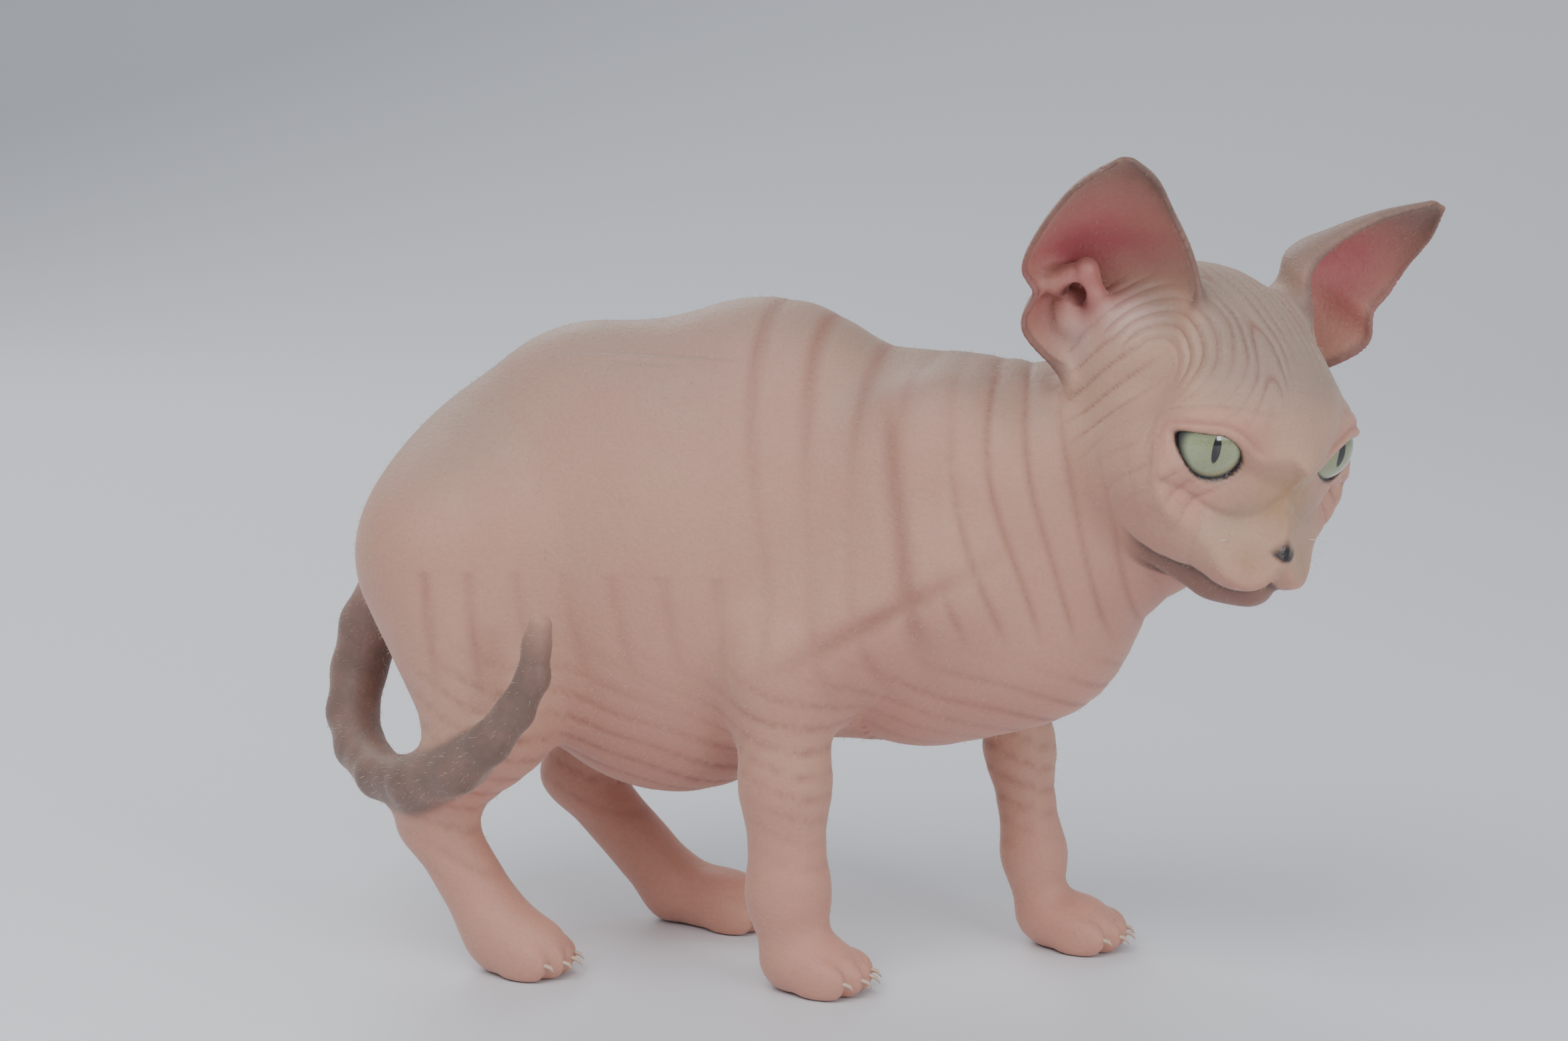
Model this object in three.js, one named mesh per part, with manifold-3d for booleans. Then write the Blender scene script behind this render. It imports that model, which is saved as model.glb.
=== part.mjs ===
// A life-size sphynx cat standing on four paws, its head turned to its right and
// lowered. Millimetres, Z up, +X toward the head, +Y to the cat's left.
// Each body part is a smooth blend of rounded lumps and tapered limbs.
import * as THREE from 'three';
import { mergeVertices } from 'three/addons/utils/BufferGeometryUtils.js';
import Module from 'manifold-3d';

const wasm = await Module();
wasm.setup();

// driving sizes
const gap = 0.3;
const trunkCell = 9.6;
const legCell = 7;
const pawCell = 4.4;
const tailCell = 4.8;
const headCell = 4.3;
const eyeRadius = 9.0;
const eyeSide = 16.0;
const lidThickness = 1.3;
const earThickness = 1.8;
const headAt = [127.4, -23.0, 142.8];
const headTurn = { yaw: -37.16, pitch: -27.4, roll: -6.08 };

const colours = {
  skin: 0xd9b8a2,
  back: 0xc4a896,
  leg: 0xdfb9a4,
  tail: 0x8d776b,
  ear: 0xcf9f96,
  lid: 0x4a3a3c,
  eye: 0xaab79a,
  nose: 0x2b2526,
};

// yaw about Z to the left, pitch nose up, roll about X, in degrees
function turnOf(yaw = 0, pitch = 0, roll = 0) {
  const [y, p, r] = [yaw, pitch, roll].map(THREE.MathUtils.degToRad);
  const about = new THREE.Matrix4().makeRotationZ(y);
  about.multiply(new THREE.Matrix4().makeRotationY(-p));
  about.multiply(new THREE.Matrix4().makeRotationX(r));
  return about;
}

// distance to an ellipsoid, negative inside
function lump(centre, radii, turn = null) {
  const back = turn ? turn.clone().invert() : null;
  const q = new THREE.Vector3();
  const [a, b, c] = radii;
  return (x, y, z) => {
    q.set(x - centre[0], y - centre[1], z - centre[2]);
    if (back) q.applyMatrix4(back);
    const near = Math.hypot(q.x / a, q.y / b, q.z / c);
    const slope = Math.hypot(q.x / (a * a), q.y / (b * b), q.z / (c * c)) + 1e-9;
    return near < 1e-6 ? -Math.min(a, b, c) : (near * (near - 1)) / slope;
  };
}

// distance to a tapered limb with a round end of radius ra at a and rb at b
function limb(a, b, ra, rb) {
  const span = [b[0] - a[0], b[1] - a[1], b[2] - a[2]];
  const length2 = span[0] ** 2 + span[1] ** 2 + span[2] ** 2;
  const taper = ra - rb;
  const side2 = length2 - taper * taper;
  return (px, py, pz) => {
    const d = [px - a[0], py - a[1], pz - a[2]];
    const y = d[0] * span[0] + d[1] * span[1] + d[2] * span[2];
    const z = y - length2;
    let x2 = 0;
    for (let i = 0; i < 3; i += 1) x2 += (d[i] * length2 - y * span[i]) ** 2;
    const y2 = y * y * length2;
    const z2 = z * z * length2;
    const k = Math.sign(taper) * taper * taper * x2;
    if (Math.sign(z) * side2 * z2 > k) return Math.sqrt(x2 + z2) / length2 - rb;
    if (Math.sign(y) * side2 * y2 < k) return Math.sqrt(x2 + y2) / length2 - ra;
    return (Math.sqrt((x2 * side2) / length2) + y * taper) / length2 - ra;
  };
}

function blendTwo(a, b, k) {
  const h = Math.max(k - Math.abs(a - b), 0) / k;
  return Math.min(a, b) - h * h * k * 0.25;
}

// pairs of [form, blend width], joined one after another
function blend(pairs) {
  return (x, y, z) => {
    let d = pairs[0][0](x, y, z);
    for (let i = 1; i < pairs.length; i += 1) {
      d = blendTwo(d, pairs[i][0](x, y, z), pairs[i][1]);
    }
    return d;
  };
}

// a form that is given for the left side, and its twin on the right
function both(form, k) {
  return [[form, k], [(x, y, z) => form(x, -y, z), k]];
}

// closed surface of a form, moved out by some width when it is the room for a neighbour;
// a cell size that pinches two walls together is made finer
function surfaceOf(form, low, high, cell, out = 0) {
  for (let fine = cell; fine > cell / 2; fine *= 0.94) {
    const { points, faces, outward } = netOf(form, low, high, fine);
    for (let n = 0; n < points.length; n += 1) points[n] += outward[n] * out;
    try {
      const solid = solidOf(points, faces);
      if (closedWhenRounded(solid.getMesh())) return solid;
    } catch (pinched) {
      continue;
    }
  }
  throw new Error('no clean surface');
}

// net of faces around a form, found on a grid and then drawn onto the true surface
function netOf(form, low, high, cell) {
  const count = low.map((v, i) => Math.ceil((high[i] - v) / cell) + 1);
  const [nx, ny, nz] = count;
  const at = (i, j, k) => (k * ny + j) * nx + i;
  const value = new Float64Array(nx * ny * nz);
  for (let k = 0; k < nz; k += 1) {
    for (let j = 0; j < ny; j += 1) {
      for (let i = 0; i < nx; i += 1) {
        value[at(i, j, k)] = form(low[0] + i * cell, low[1] + j * cell, low[2] + k * cell);
      }
    }
  }
  const number = new Int32Array(nx * ny * nz).fill(-1);
  const points = [];
  for (let k = 0; k < nz - 1; k += 1) {
    for (let j = 0; j < ny - 1; j += 1) {
      for (let i = 0; i < nx - 1; i += 1) {
        const sum = [0, 0, 0];
        let crossings = 0;
        for (let axis = 0; axis < 3; axis += 1) {
          for (let s = 0; s < 4; s += 1) {
            const from = [i, j, k];
            from[(axis + 1) % 3] += s & 1;
            from[(axis + 2) % 3] += s >> 1;
            const to = from.slice();
            to[axis] += 1;
            const a = value[at(...from)];
            const b = value[at(...to)];
            if (a < 0 !== b < 0) {
              from[axis] += a / (a - b);
              for (let n = 0; n < 3; n += 1) sum[n] += from[n];
              crossings += 1;
            }
          }
        }
        if (crossings > 0) {
          number[at(i, j, k)] = points.length / 3;
          for (let n = 0; n < 3; n += 1) points.push(low[n] + (sum[n] / crossings) * cell);
        }
      }
    }
  }
  const step = 0.05;
  const outward = [];
  for (let p = 0; p < points.length; p += 3) {
    for (let pass = 0; pass < 4; pass += 1) {
      const [x, y, z] = points.slice(p, p + 3);
      const d = form(x, y, z);
      const gx = (form(x + step, y, z) - d) / step;
      const gy = (form(x, y + step, z) - d) / step;
      const gz = (form(x, y, z + step) - d) / step;
      const move = THREE.MathUtils.clamp(d / (gx * gx + gy * gy + gz * gz + 1e-6), -cell / 3, cell / 3);
      points[p] -= gx * move;
      points[p + 1] -= gy * move;
      points[p + 2] -= gz * move;
      if (pass === 3) outward.push(...new THREE.Vector3(gx, gy, gz).normalize().toArray());
    }
  }
  const faces = [];
  for (let axis = 0; axis < 3; axis += 1) {
    const b = (axis + 1) % 3;
    const c = (axis + 2) % 3;
    for (let k = 0; k < nz; k += 1) {
      for (let j = 0; j < ny; j += 1) {
        for (let i = 0; i < nx; i += 1) {
          const from = [i, j, k];
          const to = from.slice();
          to[axis] += 1;
          if (to[axis] >= count[axis] || from[b] < 1 || from[c] < 1) continue;
          const inside = value[at(...from)] < 0;
          if (inside === value[at(...to)] < 0) continue;
          const ring = [[-1, -1], [0, -1], [0, 0], [-1, 0]].map(([u, v]) => {
            const cellAt = from.slice();
            cellAt[b] += u;
            cellAt[c] += v;
            return number[at(...cellAt)];
          });
          if (!inside) ring.reverse();
          faces.push(ring[0], ring[1], ring[2], ring[0], ring[2], ring[3]);
        }
      }
    }
  }
  return { points, faces, outward };
}

function solidOf(points, faces) {
  const mesh = new wasm.Mesh({
    numProp: 3,
    vertProperties: Float32Array.from(points),
    triVerts: Uint32Array.from(faces),
  });
  return new wasm.Manifold(mesh);
}

// any three.js geometry as a solid
function solidFrom(geometry) {
  const plain = geometry.clone();
  plain.deleteAttribute('normal');
  plain.deleteAttribute('uv');
  const merged = mergeVertices(plain, 1e-4);
  return solidOf(merged.attributes.position.array, merged.index.array);
}

// trunk: belly, chest, rump and the arch of the back
const trunkForm = blend([
  [lump([-26, -14, 96], [50, 36, 54]), 1],
  [lump([0, -12, 120], [48, 27, 51]), 18],
  [lump([-68, -17, 108], [34, 27, 34], turnOf(0, -28, 0)), 18],
  [lump([-46, -15, 120], [42, 25, 43]), 12],
  [lump([-74, -18, 124], [17, 20, 20]), 10],
  [lump([40, -9, 102], [44, 30, 44]), 18],
  [lump([46, -9, 134], [24, 16, 23]), 14],
  [lump([70, -8, 92], [24, 24, 24]), 14],
  [lump([44, -27, 124], [19, 13, 30], turnOf(0, -20, 0)), 12],
  [lump([44, 9, 124], [19, 13, 30], turnOf(0, -20, 0)), 12],
]);
const neckForm = blend([
  [limb([62, -9, 126], [100, -5, 140], 27, 22), 1],
  [limb([76, -8, 108], [108, -12, 122], 20, 17), 14],
]);

// fore legs from shoulder to toe, hind legs from hip to toe
const foreLegs = {
  right: {
    shoulder: [52, -30, 104],
    elbow: [13, -37, 82],
    middle: [14, -37.5, 52],
    wrist: [15, -38, 24],
    paw: [17, -39, 9],
    toe: [28, -40, 7],
    thick: 1.0,
  },
  left: {
    shoulder: [66, 16, 102],
    elbow: [54, 20, 80],
    middle: [58, 20.5, 52],
    wrist: [62, 21, 24],
    paw: [64, 21, 9],
    toe: [78, 20, 7],
    thick: 0.78,
  },
};
const hindLegs = {
  right: {
    hip: [-76, -34, 104],
    knee: [-62, -48, 64],
    hock: [-78, -48, 38],
    ball: [-60, -50, 12],
    toe: [-48, -51, 7],
  },
  left: {
    hip: [-76, 2, 104],
    knee: [-46, 12, 62],
    hock: [-64, 12, 38],
    ball: [-34, 9, 9],
    toe: [-14, 7, 6.5],
  },
};

// four toes side by side at the front of a paw, with its pad behind them
function pawForm(heel, toe, wide) {
  const along = new THREE.Vector3(toe[0] - heel[0], toe[1] - heel[1], 0).normalize();
  const yaw = THREE.MathUtils.radToDeg(Math.atan2(along.y, along.x));
  const turn = turnOf(yaw, 0, 0);
  const place = (forward, side, up) => [
    toe[0] + along.x * forward - along.y * side,
    toe[1] + along.y * forward + along.x * side,
    up,
  ];
  const pairs = [[lump(place(-6, 0, 6.5), [12, wide, 8], turn), 1]];
  for (const [n, forward] of [-4.5, 0, 0, -3].entries()) {
    const side = (n - 1.5) * wide * 0.52;
    pairs.push([lump(place(1.5 + forward * 0.6, side, 4.6), [7.5, 3.1, 5.4], turn), 2.5]);
  }
  return blend(pairs);
}

const foreForms = {};
const forePawForms = {};
for (const [side, leg] of Object.entries(foreLegs)) {
  const t = leg.thick;
  foreForms[side] = blend([
    [limb(leg.shoulder, leg.elbow, 16, 13), 1],
    [limb(leg.elbow, leg.middle, 13 * t, 10.5 * t), 8],
    [limb(leg.middle, leg.wrist, 10.5 * t, 9.3 * t), 6],
    [limb(leg.wrist, leg.paw, 9.3 * t, 8.2 * t), 6],
  ]);
  forePawForms[side] = blend([
    [pawForm(leg.paw, leg.toe, 9.6), 1],
    [limb([leg.paw[0], leg.paw[1], 12], leg.paw, 8.2 * t, 8), 4],
  ]);
}
const thighForms = {};
const shankForms = {};
const hindPawForms = {};
for (const [side, leg] of Object.entries(hindLegs)) {
  thighForms[side] = limb(leg.hip, leg.knee, 27, 15);
  shankForms[side] = blend([
    [limb(leg.knee, leg.hock, 13, 8.5), 1],
    [limb(leg.hock, leg.ball, 8.5, 8.5), 6],
  ]);
  hindPawForms[side] = blend([
    [pawForm(leg.ball, leg.toe, 9), 1],
    [limb(leg.ball, leg.toe, 8, 7), 4],
  ]);
}

// tail: root to tip, each with its radius
const tailLine = [
  [-101, -18, 94, 9.5],
  [-109, -20, 81, 8.2],
  [-112, -22, 69, 7.2],
  [-111, -28, 59, 6.7],
  [-105, -36, 52, 6.4],
  [-93, -48, 48, 6.2],
  [-79, -58, 49, 6],
  [-63, -66, 55, 5.6],
  [-52, -70, 64, 5.2],
  [-44, -72, 73, 4.6],
  [-39, -72, 82, 4],
  [-38, -72, 90, 3.4],
  [-37, -72, 95, 3],
];
function tailForm(first, last) {
  const pairs = [];
  for (let i = first; i < last; i += 1) {
    const a = tailLine[i];
    const b = tailLine[i + 1];
    pairs.push([limb(a.slice(0, 3), b.slice(0, 3), a[3], b[3]), 2]);
  }
  return blend(pairs);
}

// head, in its own axes: X to the nose, Y to its left, Z up
const headMatrix = turnOf(headTurn.yaw, headTurn.pitch, headTurn.roll).setPosition(...headAt);
const intoHead = headMatrix.clone().invert();
const local = new THREE.Vector3();
function onHead(form) {
  return (x, y, z) => {
    local.set(x, y, z).applyMatrix4(intoHead);
    return form(local.x, local.y, local.z);
  };
}
const headLocal = blend([
  [lump([-20, 0, 5], [34, 23, 22]), 1],
  [lump([-2, 0, 7], [16, 18, 14]), 8],
  ...both(lump([-6, 20.5, -9], [17, 10, 12]), 8),
  ...both(lump([-14, 17, -17], [19, 12, 15]), 8),
  ...both(lump([-33, 20, 3], [13, 10, 14]), 9),
  [lump([9, 0, -9], [16, 15, 13]), 7],
  [limb([5, 0, 5], [24, 0, -10.5], 8, 6.4), 5],
  ...both(lump([19.5, 7.5, -19], [10, 8.8, 7.5]), 4),
  ...both(limb([7, 7, 9.5], [-3, 20, 6], 4.2, 4.5), 5),
  ...both(lump([0.5, eyeSide, 0], [11.2, 11.2, 11.2]), 6),
]);
const jawLocal = blend([
  [lump([15, 0, -29], [9.5, 8.5, 6.5]), 1],
  ...both(limb([-12, 15, -24], [12, 4.5, -29], 8.5, 6.5), 6),
]);
const headForm = onHead(headLocal);
const jawForm = onHead(jawLocal);

// a closed sheet from a grid of outer and inner points; the rows run base to tip
function shell(outer, inner) {
  const rows = outer.length;
  const columns = outer[0].length;
  const points = [...outer.flat(), ...inner.flat()].flat();
  const faces = [];
  const o = (r, c) => r * columns + c;
  const n = (r, c) => rows * columns + r * columns + c;
  const quad = (a, b, c, d) => faces.push(a, b, c, a, c, d);
  for (let r = 0; r < rows - 1; r += 1) {
    for (let c = 0; c < columns - 1; c += 1) {
      quad(o(r, c), o(r, c + 1), o(r + 1, c + 1), o(r + 1, c));
      quad(n(r, c), n(r + 1, c), n(r + 1, c + 1), n(r, c + 1));
    }
    quad(o(r, 0), o(r + 1, 0), n(r + 1, 0), n(r, 0));
    quad(o(r, columns - 1), n(r, columns - 1), n(r + 1, columns - 1), o(r + 1, columns - 1));
  }
  for (let c = 0; c < columns - 1; c += 1) {
    quad(o(0, c), n(0, c), n(0, c + 1), o(0, c + 1));
    quad(o(rows - 1, c), o(rows - 1, c + 1), n(rows - 1, c + 1), n(rows - 1, c));
  }
  return { points, faces };
}

// ear cup: a sheet bowed back between its front rim and its side rim
const ear = {
  front: new THREE.Vector3(-18, 17, 20),
  low: new THREE.Vector3(-38, 31, -8),
  tip: { right: new THREE.Vector3(-25, 47, 62), left: new THREE.Vector3(-25, 47.3, 52) },
  tipAcross: new THREE.Vector3(-11.4, 13.8, -9.9).normalize(),
  bow: new THREE.Vector3(-2, 6, 0),
  backward: new THREE.Vector3(-0.824, -0.515, 0.236).normalize(),
  depth: 17,
};
function earPoint(side, u, t) {
  const s = Math.sin((t * Math.PI) / 2);
  const bulge = Math.sin(Math.PI * THREE.MathUtils.clamp(s, 0, 1));
  const width = Math.max(1 - Math.max(s, 0) ** 2.4, 0) ** 0.62 * (1 + 0.25 * bulge);
  const base = ear.front.clone().add(ear.low).multiplyScalar(0.5);
  const half = ear.low.clone().sub(ear.front).multiplyScalar(0.5);
  const across = half.clone().multiplyScalar(1 - s);
  across.addScaledVector(ear.tipAcross, half.length() * s).multiplyScalar(width);
  const point = base.clone().lerp(ear.tip[side], s).addScaledVector(ear.bow, bulge);
  point.addScaledVector(across, Math.sin((u * Math.PI) / 2));
  const deep = ear.depth * (1 - 0.62 * s) * Math.sqrt(width);
  return point.addScaledVector(ear.backward, deep * Math.cos((u * Math.PI) / 2));
}
function earSolid(side) {
  const rows = 10;
  const columns = 12;
  const outer = [];
  const inner = [];
  for (let r = 0; r < rows; r += 1) {
    const t = -0.1 + (1.07 * r) / (rows - 1);
    const out = [];
    const into = [];
    for (let c = 0; c < columns; c += 1) {
      const u = -1 + (2 * c) / (columns - 1);
      const p = earPoint(side, u, t);
      const du = earPoint(side, u + 0.01, t).sub(earPoint(side, u - 0.01, t));
      const dt = earPoint(side, u, t + 0.01).sub(earPoint(side, u, t - 0.01));
      const normal = du.cross(dt).normalize();
      if (normal.dot(ear.backward) > 0) normal.negate();
      const half = earThickness * (0.5 - 0.15 * Math.max(t, 0));
      const a = p.clone().addScaledVector(normal, half);
      const b = p.clone().addScaledVector(normal, -half);
      if (side === 'right') {
        a.y *= -1;
        b.y *= -1;
      }
      out.push(a.applyMatrix4(headMatrix).toArray());
      into.push(b.applyMatrix4(headMatrix).toArray());
    }
    outer.push(out);
    inner.push(into);
  }
  const sheet = shell(outer, inner);
  let made = solidOf(sheet.points, sheet.faces);
  if (made.volume() < 0) {
    const turned = shell(inner, outer);
    made = solidOf(turned.points, turned.faces);
  }
  return made;
}

// eyes look straight ahead and a little outward; the lid ring has an almond opening
const eyes = {};
for (const [side, sign] of [['right', -1], ['left', 1]]) {
  const centre = new THREE.Vector3(1.5, sign * eyeSide, 0);
  const gaze = new THREE.Vector3(0.985, sign * 0.13, 0.09).normalize();
  const along = new THREE.Vector3(-0.2, sign * 0.88, 0.42);
  along.addScaledVector(gaze, -along.dot(gaze)).normalize();
  const across = gaze.clone().cross(along).normalize();
  eyes[side] = { centre, gaze, along, across };
}
function lidSolid(side) {
  const { centre, gaze, along, across } = eyes[side];
  const steps = 20;
  const rings = [0, 0.18, 0.5, 1];
  const reach = THREE.MathUtils.degToRad(88);
  const long = THREE.MathUtils.degToRad(60);
  const tall = THREE.MathUtils.degToRad(38);
  const rowsOut = [];
  const rowsIn = [];
  for (const ring of rings) {
    const out = [];
    const into = [];
    for (let n = 0; n < steps; n += 1) {
      const around = (n / steps) * 2 * Math.PI;
      const c = Math.abs(Math.cos(around)) / long;
      const s = Math.abs(Math.sin(around)) / tall;
      const edge = (c ** 1.6 + s ** 1.6) ** (-1 / 1.6);
      const angle = edge + (reach - edge) * ring;
      const direction = gaze.clone().multiplyScalar(Math.cos(angle));
      direction.addScaledVector(along, Math.sin(angle) * Math.cos(around));
      direction.addScaledVector(across, Math.sin(angle) * Math.sin(around));
      const thick = ring === 0 ? lidThickness * 0.6 : lidThickness;
      const far = centre.clone().addScaledVector(direction, eyeRadius + gap + thick);
      const near = centre.clone().addScaledVector(direction, eyeRadius + gap);
      out.push(far.applyMatrix4(headMatrix).toArray());
      into.push(near.applyMatrix4(headMatrix).toArray());
    }
    rowsOut.push(out);
    rowsIn.push(into);
  }
  const make = (outer, inner) => {
    const points = [...outer.flat(), ...inner.flat()].flat();
    const faces = [];
    const rows = rings.length;
    const o = (r, n) => r * steps + (n % steps);
    const i = (r, n) => rows * steps + r * steps + (n % steps);
    const quad = (a, b, c, d) => faces.push(a, b, c, a, c, d);
    for (let n = 0; n < steps; n += 1) {
      for (let r = 0; r < rows - 1; r += 1) {
        quad(o(r, n), o(r + 1, n), o(r + 1, n + 1), o(r, n + 1));
        quad(i(r, n), i(r, n + 1), i(r + 1, n + 1), i(r + 1, n));
      }
      quad(o(0, n), o(0, n + 1), i(0, n + 1), i(0, n));
      quad(o(rows - 1, n), i(rows - 1, n), i(rows - 1, n + 1), o(rows - 1, n + 1));
    }
    return solidOf(points, faces);
  };
  const made = make(rowsOut, rowsIn);
  return made.volume() > 0 ? made : make(rowsIn, rowsOut);
}
function ball(centre, radius, across = 14, up = 9) {
  const geometry = new THREE.SphereGeometry(radius, across, up);
  geometry.translate(centre.x, centre.y, centre.z);
  geometry.applyMatrix4(headMatrix);
  return solidFrom(geometry);
}
function egg(centre, radii, across = 12, up = 8) {
  const geometry = new THREE.SphereGeometry(1, across, up);
  geometry.scale(...radii);
  geometry.translate(...centre);
  geometry.applyMatrix4(headMatrix);
  return solidFrom(geometry);
}

// the floor cuts small flats under the paws
const floorBox = new THREE.BoxGeometry(400, 300, 40);
floorBox.translate(0, 0, -20);
const floor = solidFrom(floorBox);

const trunkLow = [-112, -60, 30];
const trunkHigh = [104, 40, 186];
const trunk = surfaceOf(trunkForm, trunkLow, trunkHigh, trunkCell);
const trunkGrown = surfaceOf(trunkForm, trunkLow, trunkHigh, trunkCell, gap);

const neckLow = [30, -50, 70];
const neckHigh = [132, 34, 176];
const neck = surfaceOf(neckForm, neckLow, neckHigh, trunkCell);
const neckGrown = surfaceOf(neckForm, neckLow, neckHigh, trunkCell, gap);

const headLow = [headAt[0] - 76, headAt[1] - 66, headAt[2] - 58];
const headHigh = [headAt[0] + 42, headAt[1] + 50, headAt[2] + 50];
const headWhole = surfaceOf(headForm, headLow, headHigh, headCell);
const headGrown = surfaceOf(headForm, headLow, headHigh, headCell, gap);
const jawWhole = surfaceOf(jawForm, headLow, headHigh, headCell);
const jawGrown = surfaceOf(jawForm, headLow, headHigh, headCell, 1.6 * gap);

// true when no edge is shared by more than two faces once points are rounded
function closedWhenRounded(mesh) {
  const number = new Map();
  const names = [];
  for (let v = 0; v < mesh.numVert; v += 1) {
    const xyz = mesh.vertProperties.slice(v * mesh.numProp, v * mesh.numProp + 3);
    const key = Array.from(xyz, (value) => Math.round(value * 1e4)).join();
    if (!number.has(key)) number.set(key, number.size);
    names.push(number.get(key));
  }
  const edges = new Set();
  for (let f = 0; f < mesh.triVerts.length; f += 3) {
    const corner = [0, 1, 2].map((c) => names[mesh.triVerts[f + c]]);
    if (new Set(corner).size < 3) continue;
    for (let c = 0; c < 3; c += 1) {
      const edge = corner[c] * 1e6 + corner[(c + 1) % 3];
      if (edges.has(edge)) return false;
      edges.add(edge);
    }
  }
  return true;
}

// the solid less the rooms of its neighbours, each nudged until the cut is clean
function clearOf(solid, rooms) {
  for (let nudge = 0; nudge < 0.2; nudge += 0.012) {
    let rest = solid;
    for (const [n, room] of rooms.entries()) {
      rest = rest.subtract(room.translate([nudge, n % 2 ? nudge : -nudge, nudge / 2]));
    }
    const parts = rest.decompose();
    parts.sort((a, b) => b.volume() - a.volume());
    const mesh = parts[0].getMesh();
    if (closedWhenRounded(mesh)) return { solid: parts[0], mesh };
  }
  throw new Error('no clean cut');
}

const made = [];
function keep(name, solid, rooms, colour, roughness = 0.62) {
  const { mesh } = clearOf(solid, rooms);
  const geometry = new THREE.BufferGeometry();
  const xyz = new Float32Array(mesh.numVert * 3);
  for (let v = 0; v < mesh.numVert; v += 1) {
    for (let a = 0; a < 3; a += 1) xyz[v * 3 + a] = mesh.vertProperties[v * mesh.numProp + a];
  }
  geometry.setAttribute('position', new THREE.BufferAttribute(xyz, 3));
  geometry.setIndex(new THREE.BufferAttribute(Uint32Array.from(mesh.triVerts), 1));
  made.push({ name, geometry, colour, roughness });
}

// legs: each part is cut clear of the part that it grows from
const legNodes = [];
const legRooms = [];
for (const side of ['right', 'left']) {
  const leg = foreLegs[side];
  const lowY = leg.shoulder[1] - 34;
  const highY = leg.shoulder[1] + 30;
  const low = [leg.elbow[0] - 22, lowY, -8];
  const high = [leg.shoulder[0] + 24, highY, 130];
  const pawLow = [leg.paw[0] - 16, leg.paw[1] - 16, -6];
  const pawHigh = [leg.toe[0] + 16, leg.paw[1] + 16, 26];
  const paw = surfaceOf(forePawForms[side], pawLow, pawHigh, pawCell);
  const cuff = surfaceOf(forePawForms[side], pawLow, pawHigh, pawCell, gap);
  const arm = surfaceOf(foreForms[side], low, high, legCell);
  legNodes.push({ name: `foreleg_${side}`, solid: arm, rooms: [trunkGrown, neckGrown, cuff] });
  legNodes.push({ name: `forepaw_${side}`, solid: paw, rooms: [floor] });
}
for (const side of ['right', 'left']) {
  const leg = hindLegs[side];
  const low = [leg.hip[0] - 34, leg.hip[1] - 46, -8];
  const high = [leg.ball[0] + 40, leg.hip[1] + 40, 140];
  const thigh = surfaceOf(thighForms[side], low, high, legCell * 1.3);
  const thighGrown = surfaceOf(thighForms[side], low, high, legCell * 1.3, gap);
  const shank = surfaceOf(shankForms[side], low, high, legCell);
  const pawLow = [leg.ball[0] - 18, leg.toe[1] - 18, -6];
  const pawHigh = [leg.toe[0] + 16, leg.ball[1] + 18, 26];
  const paw = surfaceOf(hindPawForms[side], pawLow, pawHigh, pawCell);
  const cuff = surfaceOf(hindPawForms[side], pawLow, pawHigh, pawCell, gap);
  legRooms.push(thighGrown, surfaceOf(shankForms[side], low, high, legCell, gap));
  const lowerRooms = [thighGrown, trunkGrown, cuff, floor];
  legNodes.push({ name: `thigh_${side}`, solid: thigh, rooms: [trunkGrown] });
  legNodes.push({ name: `shank_${side}`, solid: shank, rooms: lowerRooms });
  legNodes.push({ name: `hindpaw_${side}`, solid: paw, rooms: [floor] });
}

// tail in three lengths
const tailLow = [-126, -82, 36];
const tailHigh = [-26, -2, 108];
const tailSpans = [['tail_root', 0, 4], ['tail_bend', 4, 8], ['tail_tip', 8, 12]];
const tailNodes = tailSpans.map(([name, first, last]) => ({
  name,
  solid: surfaceOf(tailForm(first, last), tailLow, tailHigh, tailCell),
  around: surfaceOf(tailForm(first, last), tailLow, tailHigh, tailCell, gap),
}));

keep('torso', trunk, [], colours.back);
keep('neck', neck, [trunkGrown, headGrown], colours.skin);

const noseRadii = [4.4, 5.4, 4.2];
const noseCentre = [28.2, 0, -13.4];
const headRooms = [jawGrown, egg(noseCentre, noseRadii.map((r) => r + 1.5 * gap), 12, 8)];
for (const side of ['right', 'left']) {
  headRooms.push(ball(eyes[side].centre, eyeRadius + lidThickness + 4 * gap, 16, 10));
}
keep('head', headWhole, headRooms, colours.skin);
keep('lower_jaw', jawWhole, [neckGrown], colours.skin);

const nostrils = [-1, 1].map((sign) => egg([32.2, sign * 2.9, -14.6], [3, 1.5, 1.3], 10, 8));
keep('nose_leather', egg(noseCentre, noseRadii, 12, 8), nostrils, colours.nose, 0.45);
for (const side of ['right', 'left']) {
  keep(`eye_${side}`, ball(eyes[side].centre, eyeRadius), [], colours.eye, 0.08);
  keep(`eyelids_${side}`, lidSolid(side), [], colours.lid);
  keep(`ear_${side}`, earSolid(side), [headGrown, neckGrown], colours.ear);
}
for (const { name, solid, rooms } of legNodes) keep(name, solid, rooms, colours.leg);
let before = trunkGrown;
for (const { name, solid, around } of tailNodes) {
  keep(name, solid, [before, ...legRooms], colours.tail);
  before = around;
}

// the whole cat, its paws on Z = 0 and the middle of its box over the origin
const cat = new THREE.Group();
cat.name = 'sphynx_cat';
const bounds = new THREE.Box3();
for (const { geometry } of made) {
  geometry.computeBoundingBox();
  bounds.union(geometry.boundingBox);
}
const middle = bounds.getCenter(new THREE.Vector3());
for (const { name, geometry, colour, roughness } of made) {
  geometry.translate(-middle.x, -middle.y, -bounds.min.z);
  geometry.computeVertexNormals();
  const material = new THREE.MeshStandardMaterial({ color: colour, roughness, metalness: 0 });
  const mesh = new THREE.Mesh(geometry, material);
  mesh.name = name;
  cat.add(mesh);
}

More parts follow.
